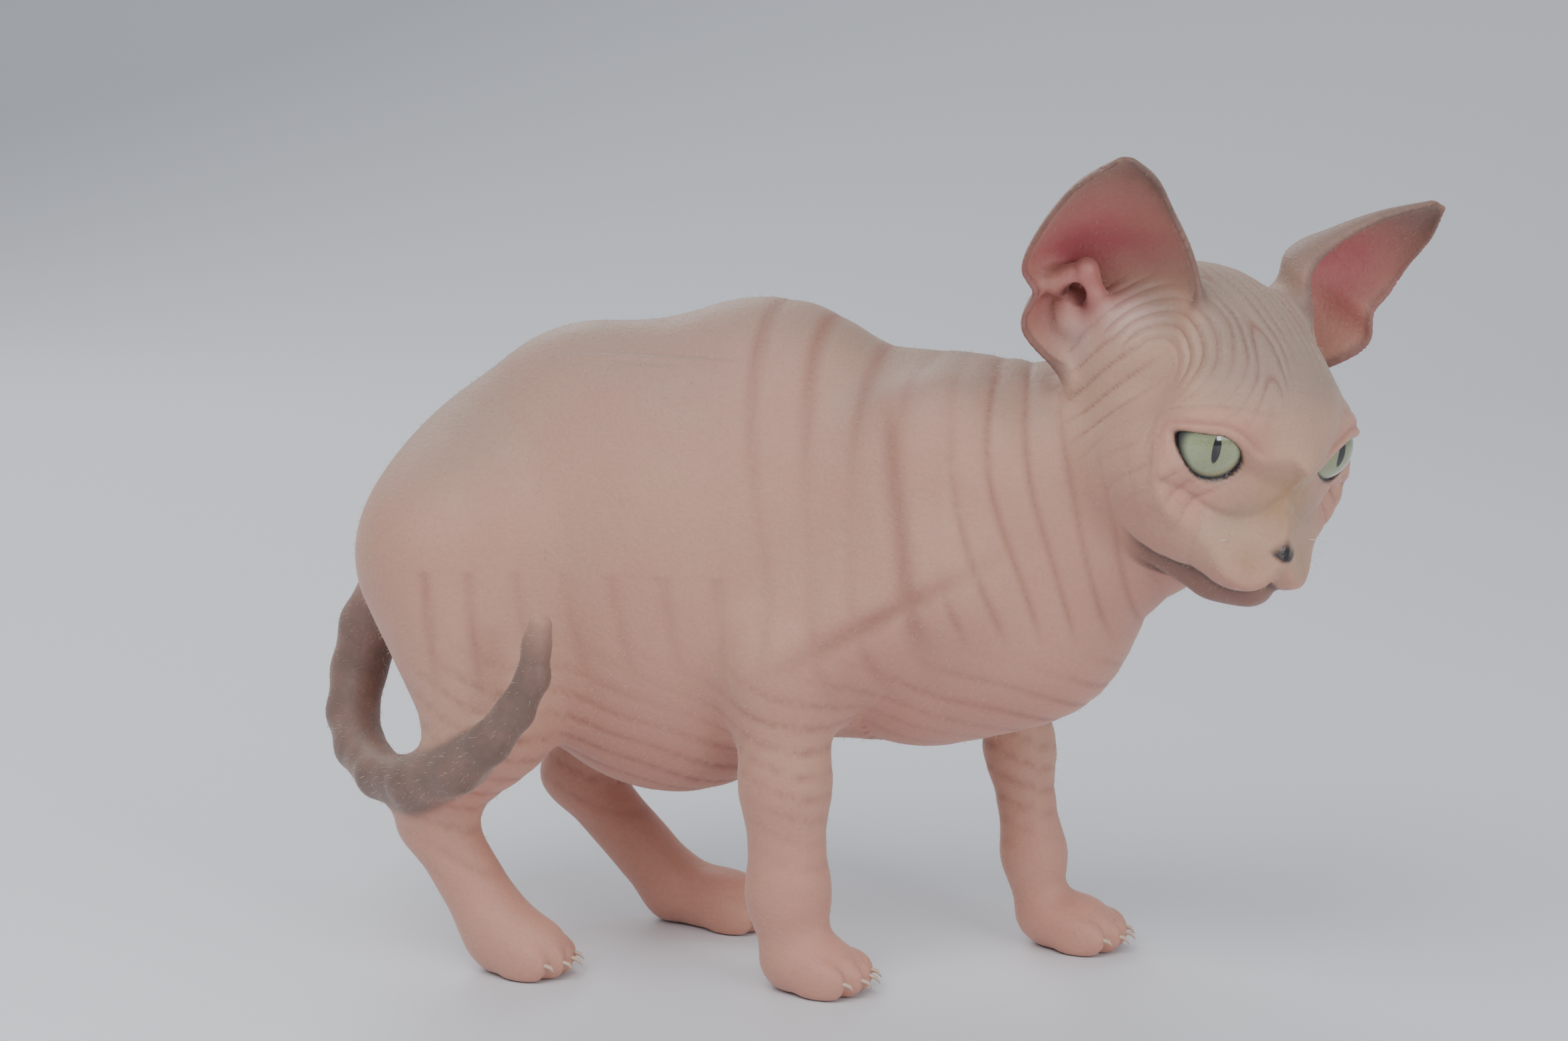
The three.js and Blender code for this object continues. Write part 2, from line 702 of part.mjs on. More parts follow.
export default cat;
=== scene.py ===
import math

import bpy
import numpy as np
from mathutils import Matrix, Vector


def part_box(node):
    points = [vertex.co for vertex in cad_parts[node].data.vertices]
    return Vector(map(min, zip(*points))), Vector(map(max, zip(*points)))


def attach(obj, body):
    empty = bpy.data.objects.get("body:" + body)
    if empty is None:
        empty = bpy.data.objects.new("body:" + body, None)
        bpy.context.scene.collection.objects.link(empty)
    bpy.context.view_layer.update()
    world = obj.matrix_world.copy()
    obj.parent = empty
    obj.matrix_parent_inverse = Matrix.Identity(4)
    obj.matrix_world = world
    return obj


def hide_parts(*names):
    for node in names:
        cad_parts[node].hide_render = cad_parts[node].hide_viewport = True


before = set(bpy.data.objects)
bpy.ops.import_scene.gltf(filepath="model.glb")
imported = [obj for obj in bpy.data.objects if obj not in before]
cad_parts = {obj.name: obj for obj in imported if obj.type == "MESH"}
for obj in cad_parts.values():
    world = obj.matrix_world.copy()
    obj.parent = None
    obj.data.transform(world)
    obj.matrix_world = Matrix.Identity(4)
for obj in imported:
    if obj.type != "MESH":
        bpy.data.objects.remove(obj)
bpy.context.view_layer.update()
print("frame loaded")


def smoothMin(a, b, k):
    h = np.maximum(k - np.abs(a - b), 0) / k
    return np.minimum(a, b) - h * h * k * 0.25


def smoothMax(a, b, k):
    return -smoothMin(-a, -b, k)


def step(low, high, x):
    t = np.clip((x - low) / (high - low), 0, 1)
    return t * t * (3 - 2 * t)


def hump(x, centre, width):
    return np.exp(-(((x - centre) / width) ** 2))


def turnOf(yaw=0, pitch=0, roll=0):
    y, p, r = np.radians([yaw, pitch, roll])
    aboutZ = np.array([[np.cos(y), -np.sin(y), 0], [np.sin(y), np.cos(y), 0], [0, 0, 1]])
    aboutY = np.array([[np.cos(p), 0, -np.sin(p)], [0, 1, 0], [np.sin(p), 0, np.cos(p)]])
    aboutX = np.array([[1, 0, 0], [0, np.cos(r), -np.sin(r)], [0, np.sin(r), np.cos(r)]])
    return aboutZ @ aboutY @ aboutX


class Form:
    # a distance function, the box that holds it and the width of its blend
    def __init__(self, distance, low, high, k, carve=False):
        self.distance = distance
        self.low = np.asarray(low, float)
        self.high = np.asarray(high, float)
        self.k = k
        self.carve = carve


def lump(centre, radii, k, turn=None):
    centre = np.asarray(centre, float)
    radii = np.asarray(radii, float)

    def distance(p):
        q = p - centre
        if turn is not None:
            q = q @ turn
        near = np.sqrt(((q / radii) ** 2).sum(-1))
        slope = np.sqrt(((q / radii**2) ** 2).sum(-1)) + 1e-9
        return np.where(near < 1e-6, -radii.min(), near * (near - 1) / slope)

    reach = radii if turn is None else np.full(3, radii.max())
    return Form(distance, centre - reach, centre + reach, k)


def limb(a, b, ra, rb, k):
    a = np.asarray(a, float)
    b = np.asarray(b, float)
    span = b - a
    length2 = span @ span
    taper = ra - rb
    side2 = length2 - taper * taper

    def distance(p):
        d = p - a
        y = d @ span
        z = y - length2
        x2 = ((d * length2 - y[..., None] * span) ** 2).sum(-1)
        y2 = y * y * length2
        z2 = z * z * length2
        far = np.sign(taper) * taper * taper * x2
        out = (np.sqrt(x2 * side2 / length2) + y * taper) / length2 - ra
        out = np.where(np.sign(z) * side2 * z2 > far, np.sqrt(x2 + z2) / length2 - rb, out)
        return np.where(np.sign(y) * side2 * y2 < far, np.sqrt(x2 + y2) / length2 - ra, out)

    wide = max(ra, rb)
    return Form(distance, np.minimum(a, b) - wide, np.maximum(a, b) + wide, k)


def both(form):
    # the form and its twin on the other side of the head
    flip = np.array([1.0, -1.0, 1.0])
    twin = Form(
        lambda p: form.distance(p * flip),
        np.minimum(form.low * flip, form.high * flip),
        np.maximum(form.low * flip, form.high * flip),
        form.k,
        form.carve,
    )
    return [form, twin]


headAt = np.array([127.4, -23.0, 142.8])
headTurn = turnOf(-37.16, -27.4, -6.08)


def toHead(p):
    return (p - headAt) @ headTurn


def fromHead(q):
    return q @ headTurn.T + headAt


def onHead(form):
    corners = np.array(
        [[x, y, z] for x in (form.low[0], form.high[0]) for y in (form.low[1], form.high[1])
         for z in (form.low[2], form.high[2])]
    )
    placed = fromHead(corners)
    return Form(
        lambda p: form.distance(toHead(p)), placed.min(0), placed.max(0), form.k, form.carve
    )


# trunk and neck
body = [
    lump([-26, -14, 96], [50, 36, 54], 1),
    lump([0, -12, 120], [48, 27, 51], 18),
    lump([-68, -17, 108], [34, 27, 34], 18, turnOf(0, -28, 0)),
    lump([-42, -15, 120], [44, 25, 44], 12),
    lump([-73, -18, 121], [18, 20, 19], 14),
    lump([40, -9, 102], [44, 30, 44], 18),
    lump([46, -9, 134], [24, 16, 23], 14),
    lump([70, -8, 92], [24, 24, 24], 14),
    limb([62, -9, 126], [100, -5, 140], 27, 22, 16),
    limb([76, -8, 108], [108, -12, 122], 20, 17, 14),
]

foreLegs = {
    "right": dict(
        shoulder=[52, -30, 104], elbow=[13, -37, 82], middle=[14, -37.5, 52],
        wrist=[15, -38, 24], paw=[17, -39, 9], toe=[28, -40, 7], thick=1.0,
    ),
    "left": dict(
        shoulder=[66, 16, 102], elbow=[54, 20, 80], middle=[58, 20.5, 52],
        wrist=[62, 21, 24], paw=[64, 21, 9], toe=[78, 20, 7], thick=0.78,
    ),
}
hindLegs = {
    "right": dict(
        hip=[-76, -34, 104], knee=[-62, -48, 64], hock=[-78, -48, 38],
        ball=[-60, -50, 12], toe=[-48, -51, 7],
    ),
    "left": dict(
        hip=[-76, 2, 104], knee=[-46, 12, 62], hock=[-64, 12, 38],
        ball=[-34, 9, 9], toe=[-14, 7, 6.5],
    ),
}
claws = []


def paw(heel, toe, wide, k):
    # pad, then four toes side by side, the middle two the furthest forward
    along = np.array([toe[0] - heel[0], toe[1] - heel[1], 0.0])
    along /= np.linalg.norm(along)
    aside = np.array([-along[1], along[0], 0.0])
    turn = turnOf(np.degrees(np.arctan2(along[1], along[0])))
    base = np.array([toe[0], toe[1], 0.0])
    forms = [lump(base - along * 6 + [0, 0, 6.5], [12, wide, 8], k, turn)]
    for n, forward in enumerate((-4.5, 0, 0, -3)):
        side = (n - 1.5) * wide * 0.52
        middle = base + along * (1.5 + forward * 0.6) + aside * side
        forms.append(lump(middle + [0, 0, 4.6], [7.5, 3.1, 5.4], 1.6, turn))
        claws.append((middle + along * 6.6 + [0, 0, 5.2], along))
    return forms


for side, leg in foreLegs.items():
    t = leg["thick"]
    shoulderSide = -27 if side == "right" else 9
    body += [
        lump([44, shoulderSide, 124], [19, 13, 30], 12, turnOf(0, -20, 0)),
        limb(leg["shoulder"], leg["elbow"], 16, 13, 12),
        limb(leg["elbow"], leg["middle"], 13 * t, 10.5 * t, 8),
        limb(leg["middle"], leg["wrist"], 10.5 * t, 9.3 * t, 6),
        limb(leg["wrist"], leg["paw"], 9.3 * t, 8.2 * t, 6),
    ]
    body += paw(leg["paw"], leg["toe"], 9.6, 5)
for leg in hindLegs.values():
    body += [
        limb(leg["hip"], leg["knee"], 27, 15, 14),
        limb(leg["knee"], leg["hock"], 13, 8.5, 8),
        limb(leg["hock"], leg["ball"], 8.5, 8.5, 6),
        limb(leg["ball"], leg["toe"], 8, 7, 5),
    ]
    body += paw(leg["ball"], leg["toe"], 9, 4)

tailLine = np.array([
    [-101, -18, 94, 9.5], [-109, -20, 81, 8.2], [-112, -22, 69, 7.2], [-111, -28, 59, 6.7],
    [-105, -36, 52, 6.4], [-93, -48, 48, 6.2], [-79, -58, 49, 6], [-63, -66, 55, 5.6],
    [-52, -70, 64, 5.2], [-44, -72, 73, 4.6], [-39, -72, 82, 4], [-38, -72, 90, 3.4],
    [-37, -72, 95, 3],
])
tail = []
for a, b in zip(tailLine[:-1], tailLine[1:]):
    tail.append(limb(a[:3], b[:3], a[3], b[3], 2))


def tailDistance(p):
    d = tail[0].distance(p)
    for piece in tail[1:]:
        d = smoothMin(d, piece.distance(p), 2)
    return d


body.append(Form(tailDistance, [-121, -80, 40], [-32, -6, 105], 7))

# head, in its own axes: X to the nose, Y to its left, Z up
eye = dict(radius=9.8, side=17.4, forward=2.4, up=0.3, lid=1.2, long=60, tall=35)
eyes = {}
for side, sign in (("right", -1), ("left", 1)):
    gaze = np.array([0.845, sign * 0.53, 0.03])
    gaze /= np.linalg.norm(gaze)
    along = np.array([-0.6, sign * 0.78, 0.173])
    along -= gaze * (along @ gaze)
    along /= np.linalg.norm(along)
    across = np.cross(gaze, along) * sign
    centre = np.array([eye["forward"], sign * eye["side"], eye["up"]])
    eyes[side] = dict(centre=centre, gaze=gaze, along=along, across=across)


def aboutEye(q, side):
    # distance from the eye's centre, angle from its gaze less the angle of the lid's edge
    at = eyes[side]
    d = q - at["centre"]
    r = np.sqrt((d * d).sum(-1)) + 1e-6
    forward = d @ at["gaze"] / r
    a = d @ at["along"] / r
    b = d @ at["across"] / r
    angle = np.degrees(np.arccos(np.clip(forward, -1, 1)))
    turn = np.sqrt(a * a + b * b) + 1e-6
    tall = eye["tall"] * (1 - 0.22 * a / turn)
    edge = ((np.abs(a / turn) / eye["long"]) ** 1.6 + (np.abs(b / turn) / tall) ** 1.6)
    return r, angle - edge ** (-1 / 1.6), a / turn, b / turn, angle


head = [
    lump([-20, 0, 5], [34, 23, 24], 9),
    lump([-2, 0, 7], [16, 18, 14], 8),
    *both(lump([-3, 21.5, -10], [17, 11, 12.5], 8)),
    *both(lump([-14, 17, -17], [19, 12, 15], 8)),
    *both(lump([-33, 20, 3], [12, 9, 13], 9)),
    lump([10, 0, -8], [17, 15.5, 13.5], 7),
    *both(lump([3, 15, -20], [13, 9, 9.5], 7)),
    *both(limb([7, 12.5, -8], [16, 8.5, -15], 7.5, 8, 6)),
    limb([6, 0, 4], [24, 0, -10.5], 9, 7, 5),
    *both(lump([17.8, 6.6, -20.8], [10.8, 8.8, 8.8], 3)),
    *both(limb([15, 8, -23], [2, 16, -22], 6, 7, 5)),
    *both(limb([6, 7, 10.5], [-3.5, 19, 9.8], 3.2, 3.4, 7)),
    *both(lump([1.8, eye["side"] - 0.2, 0.3], [10.7, 10.7, 10.7], 6)),
    lump([28.2, 0, -13.4], [4.4, 5.4, 4.2], 1.6),
]
jaw = [
    lump([15, 0, -30], [9.5, 8.5, 6.5], 1),
    *both(limb([-9, 15, -28], [11, 6, -31], 9, 6.6, 6)),
]


def jawDistance(q):
    d = jaw[0].distance(q)
    for piece in jaw[1:]:
        d = smoothMin(d, piece.distance(q), piece.k)
    return d


def carve(form):
    form.carve = True
    return form


# the jaw closes on the lips with a tight fold in front and a soft cheek behind
head.append(Form(jawDistance, [-22, -24, -38], [26, 24, -14], 1.4))
head += [carve(piece) for piece in both(limb([33.0, 2.0, -14.8], [30.2, 5.6, -13.6], 1.0, 0.7, 0.6))]
head.append(carve(limb([31.5, 0, -18.4], [27.5, 0, -25.5], 0.5, 0.8, 1.4)))


def openingOf(side):
    # the almond between the lids, down to the eyeball
    def distance(q):
        r, past, a, _, _ = aboutEye(q, side)
        cone = past * (np.pi / 180) * r
        hole = np.maximum(cone, (eye["radius"] - 1.2) - r)
        beyond = np.clip(past, 0, 90)
        limit = eye["radius"] + 0.8 + (0.11 + 0.5 * a * a) * beyond
        flare = np.maximum(limit - r, (past - 20) * (np.pi / 180) * r)
        return np.minimum(hole, flare)

    centre = eyes[side]["centre"]
    return Form(distance, centre - 22, centre + 22, 1.2, True)


def lidsOf(side):
    def distance(q):
        d = q - eyes[side]["centre"]
        return np.sqrt((d * d).sum(-1)) - (eye["radius"] + 0.2 + eye["lid"])

    centre = eyes[side]["centre"]
    return Form(distance, centre - 11, centre + 11, 3)


head += [lidsOf("right"), lidsOf("left"), openingOf("right"), openingOf("left")]

# ears: a bowed sheet between a front rim and a side rim, both drawn through knots that
# run from the root to the tip; the cat's left ear is turned further forward
ears = dict(
    right=dict(
        front=np.array([[-15, 14, 16], [-20.4, 17, 28], [-24.6, 21, 35.6], [-28.2, 27, 42.7],
                        [-29.4, 35, 50.3], [-30.2, 43, 54.5]]),
        rim=np.array([[-36, 28, -8], [-44.4, 41, 0.3], [-48, 45, 11.8], [-45, 48.4, 25.5],
                      [-37.2, 51, 42.8], [-31, 47.5, 54.4]]),
        depth=np.array([12, 14, 12, 8, 5, 1.2]),
        backward=np.array([-0.824, -0.515, 0.236]),
    ),
    left=dict(
        front=np.array([[-12, 14.5, 13], [-16, 17.2, 24.5], [-23.4, 19.5, 32.6], [-26.1, 27, 39.7],
                        [-24.7, 36, 47.6], [-20.4, 45.5, 55]]),
        rim=np.array([[-24, 32, 2], [-18.5, 43.6, 15], [-22.9, 48, 25.4], [-25.1, 52, 34.4],
                      [-23, 53, 44.3], [-20.6, 50, 54]]),
        depth=np.array([17, 19, 15, 9, 5, 1.2]),
        backward=np.array([-0.98, -0.16, 0.09]),
    ),
)
earThick = 1.7


def throughKnots(knots, t):
    at = np.clip(t, 0, 1) * (len(knots) - 1)
    n = np.minimum(at.astype(int), len(knots) - 2)
    f = at - n
    if knots.ndim > 1:
        f = f[..., None]
    a = knots[np.maximum(n - 1, 0)]
    b = knots[n]
    c = knots[n + 1]
    d = knots[np.minimum(n + 2, len(knots) - 1)]
    bend = (2 * a - 5 * b + 4 * c - d) * f**2
    return 0.5 * (2 * b + (c - a) * f + bend + (3 * b - a - 3 * c + d) * f**3)


def earPoint(side, u, t):
    # u runs from the front rim at -1 to the side rim at 1, t from root to tip
    shape = ears[side]
    front = throughKnots(shape["front"], t)
    rim = throughKnots(shape["rim"], t)
    notch = 0.1 * hump(t, 0.33, 0.08)[..., None]
    rim = rim + (front - rim) * notch
    aside = np.sin(u * np.pi / 2)[..., None]
    deep = (throughKnots(shape["depth"], t) * np.cos(u * np.pi / 2))[..., None]
    return (front + rim) / 2 + (rim - front) / 2 * aside + shape["backward"] * deep


def earPlace(q, side):
    # nearest point of the ear's sheet: u, t and the distance to it
    m = q * np.array([1, -1.0 if side == "right" else 1.0, 1])
    grid = np.meshgrid(np.linspace(-1, 1, 13), np.linspace(0, 1, 23), indexing="ij")
    u0 = grid[0].ravel()
    t0 = grid[1].ravel()
    known = earPoint(side, u0, t0)
    half = (known * known).sum(-1) / 2
    best = np.empty(len(m), int)
    for start in range(0, len(m), 20000):
        block = m[start:start + 20000]
        best[start:start + 20000] = np.argmin(half - block @ known.T, axis=1)
    u = u0[best]
    t = t0[best]
    e = 1e-3
    for turn in range(6):
        p = earPoint(side, u, t)
        ahead = (earPoint(side, u, t + e) - earPoint(side, u, t - e)) / (2 * e)
        r = m - p
        c = (ahead * ahead).sum(-1) + 1e-6
        down = (ahead * r).sum(-1)
        if turn < 4:
            beside = (earPoint(side, u + e, t) - p) / e
            a = (beside * beside).sum(-1) + 1e-6
            b = (beside * ahead).sum(-1)
            over = (beside * r).sum(-1)
            whole = np.maximum(a * c - b * b, 1e-3)
            u = np.clip(u + np.clip((c * over - b * down) / whole, -0.2, 0.2), -1, 1)
            t = np.clip(t + np.clip((a * down - b * over) / whole, -0.1, 0.1), 0.002, 0.998)
        else:
            t = np.clip(t + np.clip(down / c, -0.05, 0.05), 0.002, 0.998)
    r = m - earPoint(side, u, t)
    return u, t, np.sqrt((r * r).sum(-1)), r @ ears[side]["backward"]


def earSheet(side):
    def distance(q):
        flat = q.reshape(-1, 3)
        u, t, away, _ = earPlace(flat, side)
        thick = earThick * (0.5 - 0.1 * t) * (1 - 0.12 * np.abs(u) ** 8)
        return (away - thick).reshape(q.shape[:-1])

    sign = -1.0 if side == "right" else 1.0
    ends = np.stack([np.array([-64, 4, -14.0]) * [1, sign, 1], np.array([-8, 60, 64.0]) * [1, sign, 1]])
    return Form(distance, ends.min(0), ends.max(0), 7.0)


# the cup of the near ear, with its folds and the hole at its root
head.append(carve(lump([-40, -37, 17], [10, 10, 12], 5)))
head += [
    earSheet("right"), earSheet("left"),
    limb([-45.5, -35.6, 13.2], [-42, -33.0, 19.7], 2.6, 2.0, 5),
    limb([-41.5, -31.6, 17.7], [-37.5, -27.6, 11.7], 2.2, 2.8, 5),
    lump([-42.3, -29.4, 6.8], [5.2, 4, 4.2], 5),
    carve(lump([-41.6, -32.4, 13.4], [2.2, 3.4, 2.6], 2)),
]
skinForms = body + [onHead(piece) for piece in head]
headStart = len(body)
print("forms", len(skinForms))


def fieldAt(points):
    # the whole body's distance at loose points
    d = np.full(len(points), 40.0)
    for n, form in enumerate(skinForms):
        k = 9 if n == headStart else form.k
        reach = k + 6
        near = ((points > form.low - reach) & (points < form.high + reach)).all(-1)
        if not near.any():
            continue
        value = form.distance(points[near])
        if form.carve:
            d[near] = smoothMax(d[near], -value, k)
        else:
            d[near] = smoothMin(d[near], value, k)
    return smoothMax(d, -points[:, 2], 1.5)


def graded(low, high, fineLow, fineHigh, coarse, fine):
    parts = [np.arange(low, fineLow, coarse), np.arange(fineLow, fineHigh, fine)]
    parts.append(np.arange(fineHigh, high + coarse, coarse))
    return np.concatenate(parts)


skin = dict(coarse=2.0, fine=0.75)
xs = graded(-124, 176, 66, 168, skin["coarse"], skin["fine"])
ys = graded(-84, 44, -76, 42, skin["coarse"], skin["fine"] * 1.25)
zs = graded(-3, 222, 96, 218, skin["coarse"], skin["fine"])
print("grid", len(xs), len(ys), len(zs))
field = np.full((len(xs), len(ys), len(zs)), 40.0, np.float32)
for n, form in enumerate(skinForms):
    reach = form.k + 3
    spans = []
    for axis, line in enumerate((xs, ys, zs)):
        first = np.searchsorted(line, form.low[axis] - reach)
        last = np.searchsorted(line, form.high[axis] + reach)
        spans.append(slice(first, last))
    mesh = np.meshgrid(xs[spans[0]], ys[spans[1]], zs[spans[2]], indexing="ij")
    value = form.distance(np.stack(mesh, -1))
    part = field[tuple(spans)]
    if form.carve:
        field[tuple(spans)] = smoothMax(part, -value, form.k)
    else:
        field[tuple(spans)] = smoothMin(part, value, form.k)
field = smoothMax(field, -zs[None, None, :].astype(np.float32), 1.5)
print("field done")


def surfaceNet(f, lines):
    # one point in each cell that the surface crosses, one quad at each crossed edge
    inside = f < 0
    shape = np.array(f.shape)
    count = np.zeros(shape - 1, np.uint8)
    for dx in (0, 1):
        for dy in (0, 1):
            for dz in (0, 1):
                count += inside[
                    dx:shape[0] - 1 + dx, dy:shape[1] - 1 + dy, dz:shape[2] - 1 + dz
                ]
    crossed = (count > 0) & (count < 8)
    cells = np.argwhere(crossed)
    number = -np.ones(crossed.shape, np.int32)
    number[crossed] = np.arange(len(cells))
    total = np.zeros((len(cells), 3))
    hits = np.zeros(len(cells))
    for axis in range(3):
        others = [a for a in range(3) if a != axis]
        for u in (0, 1):
            for v in (0, 1):
                start = cells.copy()
                start[:, others[0]] += u
                start[:, others[1]] += v
                end = start.copy()
                end[:, axis] += 1
                a = f[tuple(start.T)]
                b = f[tuple(end.T)]
                hit = (a < 0) != (b < 0)
                t = (a[hit] / (a[hit] - b[hit]))[:, None]
                p = np.stack([line[start[hit, n]] for n, line in enumerate(lines)], -1)
                q = np.stack([line[end[hit, n]] for n, line in enumerate(lines)], -1)
                total[hit] += p * (1 - t) + q * t
                hits[hit] += 1
    quads = []
    for axis in range(3):
        first = [slice(None)] * 3
        second = [slice(None)] * 3
        first[axis] = slice(0, -1)
        second[axis] = slice(1, None)
        a = inside[tuple(first)]
        edges = np.argwhere(a != inside[tuple(second)])
        o = [(axis + 1) % 3, (axis + 2) % 3]
        free = np.ones(len(edges), bool)
        for other in o:
            free &= (edges[:, other] > 0) & (edges[:, other] < shape[other] - 1)
        edges = edges[free]
        ring = []
        for du, dv in ((-1, -1), (0, -1), (0, 0), (-1, 0)):
            at = edges.copy()
            at[:, o[0]] += du
            at[:, o[1]] += dv
            ring.append(number[tuple(at.T)])
        ring = np.stack(ring, -1)
        outward = a[tuple(edges.T)]
        ring[~outward] = ring[~outward][:, ::-1]
        quads.append(ring)
    return total / hits[:, None], np.concatenate(quads)


points, quads = surfaceNet(field, (xs, ys, zs))
print("net", len(points), len(quads))


def slopeAt(p, h=0.08):
    d = fieldAt(p)
    g = np.stack([fieldAt(p + h * np.eye(3)[n]) - d for n in range(3)], -1)
    return d, g / h


for _ in range(2):
    d, g = slopeAt(points)
    move = np.clip(d / (np.maximum((g * g).sum(-1), 0.2)), -0.5, 0.5)
    points = points - g * move[:, None]


def normalsOf(vertices, faces):
    a, b, c, d = (vertices[faces[:, n]] for n in range(4))
    cross = np.cross(c - a, d - b)
    total = np.zeros_like(vertices)
    for n in range(4):
        np.add.at(total, faces[:, n], cross)
    return total / (np.linalg.norm(total, axis=-1, keepdims=True) + 1e-12)


normals = normalsOf(points, quads)
print("skin drawn")

# where each point of the skin lies on the cat
q = toHead(points)
mirrored = q * [1, 0, 1] + np.abs(q[:, 1:2]) * [0, 1, 0]
headNormal = normals @ headTurn
skull = np.sqrt((((q - [-14, 0, 0]) / [46, 32, 34]) ** 2).sum(-1))
onHeadMask = 1 - step(0.95, 1.25, skull)
earMask = np.zeros(len(points))
earInside = np.zeros(len(points))
earHeight = np.zeros(len(points))
earAcross = np.zeros(len(points))
for side, sign in (("right", -1), ("left", 1)):
    near = np.flatnonzero((q[:, 1] * sign > 8) & (q[:, 0] < 0) & (q[:, 2] > -14))
    u, t, away, behind = earPlace(q[near], side)
    part = 1 - step(0.9, 3.2, away)
    earMask[near] = np.maximum(earMask[near], part)
    earInside[near] = np.where(part > 0.01, step(0.1, -0.1, behind), earInside[near])
    earHeight[near] = np.where(part > 0.01, t, earHeight[near])
    earAcross[near] = np.where(part > 0.01, u, earAcross[near])
lidEdge = np.full(len(points), 90.0)
lidNear = np.zeros(len(points))
eyeDepth = np.full(len(points), 90.0)
for side in eyes:
    r, past, _, _, _ = aboutEye(q, side)
    close = r < 24
    eyeDepth = np.minimum(eyeDepth, r)
    lidEdge = np.where(close & (past < lidEdge), past, lidEdge)
    lidNear = np.maximum(lidNear, np.where(past < 70, 1 - step(11, 22, r), 0))
rearward = points[:, 0] < 0
tailAway = tailDistance(points) * ((points[:, 2] < 104) & rearward) + 9 * (points[:, 0] > 0)
tailNear = 1 - step(0.4, 3.5, tailAway)
noseAway = lump([28.6, 0, -13.6], [4.6, 5.2, 4.0], 1).distance(q)
jawAway = jawDistance(q)

# depths of the folds and, with Wide, the distances between them
folds = dict(
    forehead=0.85, crownWide=2.6, arcWide=3.0, eyes=0.85, eyesWide=17, bag=0.5, lid=0.7,
    cheek=0.9, cheekWide=4.8, behind=0.4, behindWide=5.2, neck=1.1, neckWide=8.0,
    flank=0.5, flankWide=12.0, leg=0.3, legWide=6.5, pocket=1.1, elbow=0.9, uneven=0.2,
)


def wobble(p, wide, seed):
    turn = np.array([[0.36, 0.48, -0.8], [-0.8, 0.6, 0], [0.48, 0.64, 0.6]])
    w = p / wide + seed * 1.7
    total = np.sin(w[:, 0]) * np.sin(w[:, 1] * 1.3 + 0.7) + np.sin(w[:, 2] * 1.1 + 2.1)
    w = w @ turn * 1.9 + seed
    return (total + 0.6 * np.sin(w[:, 0] + np.sin(w[:, 1])) + 0.4 * np.sin(w[:, 2] * 1.4)) / 2.4


# the rise of each fold about its middle, and how much painted shade its valley takes
def ridges(cycles, sharp):
    wave = np.abs(np.sin(np.pi * cycles)) ** sharp
    return wave - 0.68, np.clip(1 - wave * 1.5, 0, 1)


# the height added to the skin, and a mask of painted shade for the valleys of its folds and creases
height = np.zeros(len(points))
creaseShade = np.zeros(len(points))


# raises the folds and paints shade into their valleys
def foldIn(cycles, amount, weight, sharp=0.55):
    global height, creaseShade
    rise, valleyShade = ridges(cycles, sharp)
    height = height + rise * amount * weight
    creaseShade = np.maximum(creaseShade, valleyShade * np.clip(weight, 0, 1) ** 1.5)


# paints shade into a crease, with no change of shape
def shadeCrease(amount):
    global creaseShade
    creaseShade = np.maximum(creaseShade, amount)


x, y, z = q.T
aside = np.abs(y)

# the forehead: lines along its middle, arcs about each temple
temple = np.linalg.norm(mirrored - [-17, 21, 8], axis=-1)
arcs = temple / folds["arcWide"] + 0.45 * wobble(q, 7, 2)
lines = aside / folds["crownWide"] + 0.32 * wobble(q, 6, 1) + 0.35
merge = step(4, 13, aside)
brow = onHeadMask * step(5, 12, z) * (1 - earMask) * (1 - step(28, 33, temple))
brow = brow * (1 - 0.8 * lidNear)
foreheadPhase = lines * (1 - merge) + (arcs - 5.6) * merge
foreheadWeight = brow * step(4, 9, temple) * (0.55 + 0.45 * wobble(q, 10, 4)).clip(0.15, 1)
foldIn(foreheadPhase, folds["forehead"], foreheadWeight)

# rings about the eyes, the bag below each and the fold over it; the fold over the eye and a ring below
# the bag get painted shade
ring = np.clip(1 - np.abs(lidEdge - 30) / 26, 0, 1) * step(9, 12, lidEdge) * lidNear
ringWeight = ring * (0.6 + 0.4 * wobble(q, 9, 5))
foldIn(lidEdge / folds["eyesWide"] + 0.15 * wobble(q, 6, 3), folds["eyes"], ringWeight)
below = lidNear * step(2, -6, z)
bag = hump(lidEdge, 17, 4.5) * below * 0.9
lid = hump(lidEdge, 13, 3.0) * lidNear * step(0, 8, z) * 0.7
height += folds["bag"] * bag - folds["lid"] * lid
shadeCrease(0.75 * lid)
shadeCrease(0.7 * hump(lidEdge, 25, 2.4) * below)

# the cheeks, and behind the jaw
muzzle = np.linalg.norm(mirrored - [16, 6.5, -17], axis=-1)
cheek = onHeadMask * step(11.5, 15, muzzle) * (1 - step(32, 42, muzzle))
cheek = cheek * step(-2, -9, z) * step(22, 15, x)
cheekRings = (muzzle + 0.2 * z) / folds["cheekWide"] + 0.28 * wobble(q, 8, 6)
foldIn(cheekRings, folds["cheek"], cheek * (0.65 + 0.35 * wobble(q, 9, 7)))
behind = onHeadMask * step(-8, -22, x) * (1 - step(6, 14, z)) * (1 - earMask)
behindRings = (x * 0.9 - 0.4 * z) / folds["behindWide"] + 0.35 * wobble(q, 11, 8)
foldIn(behindRings, folds["behind"], behind)

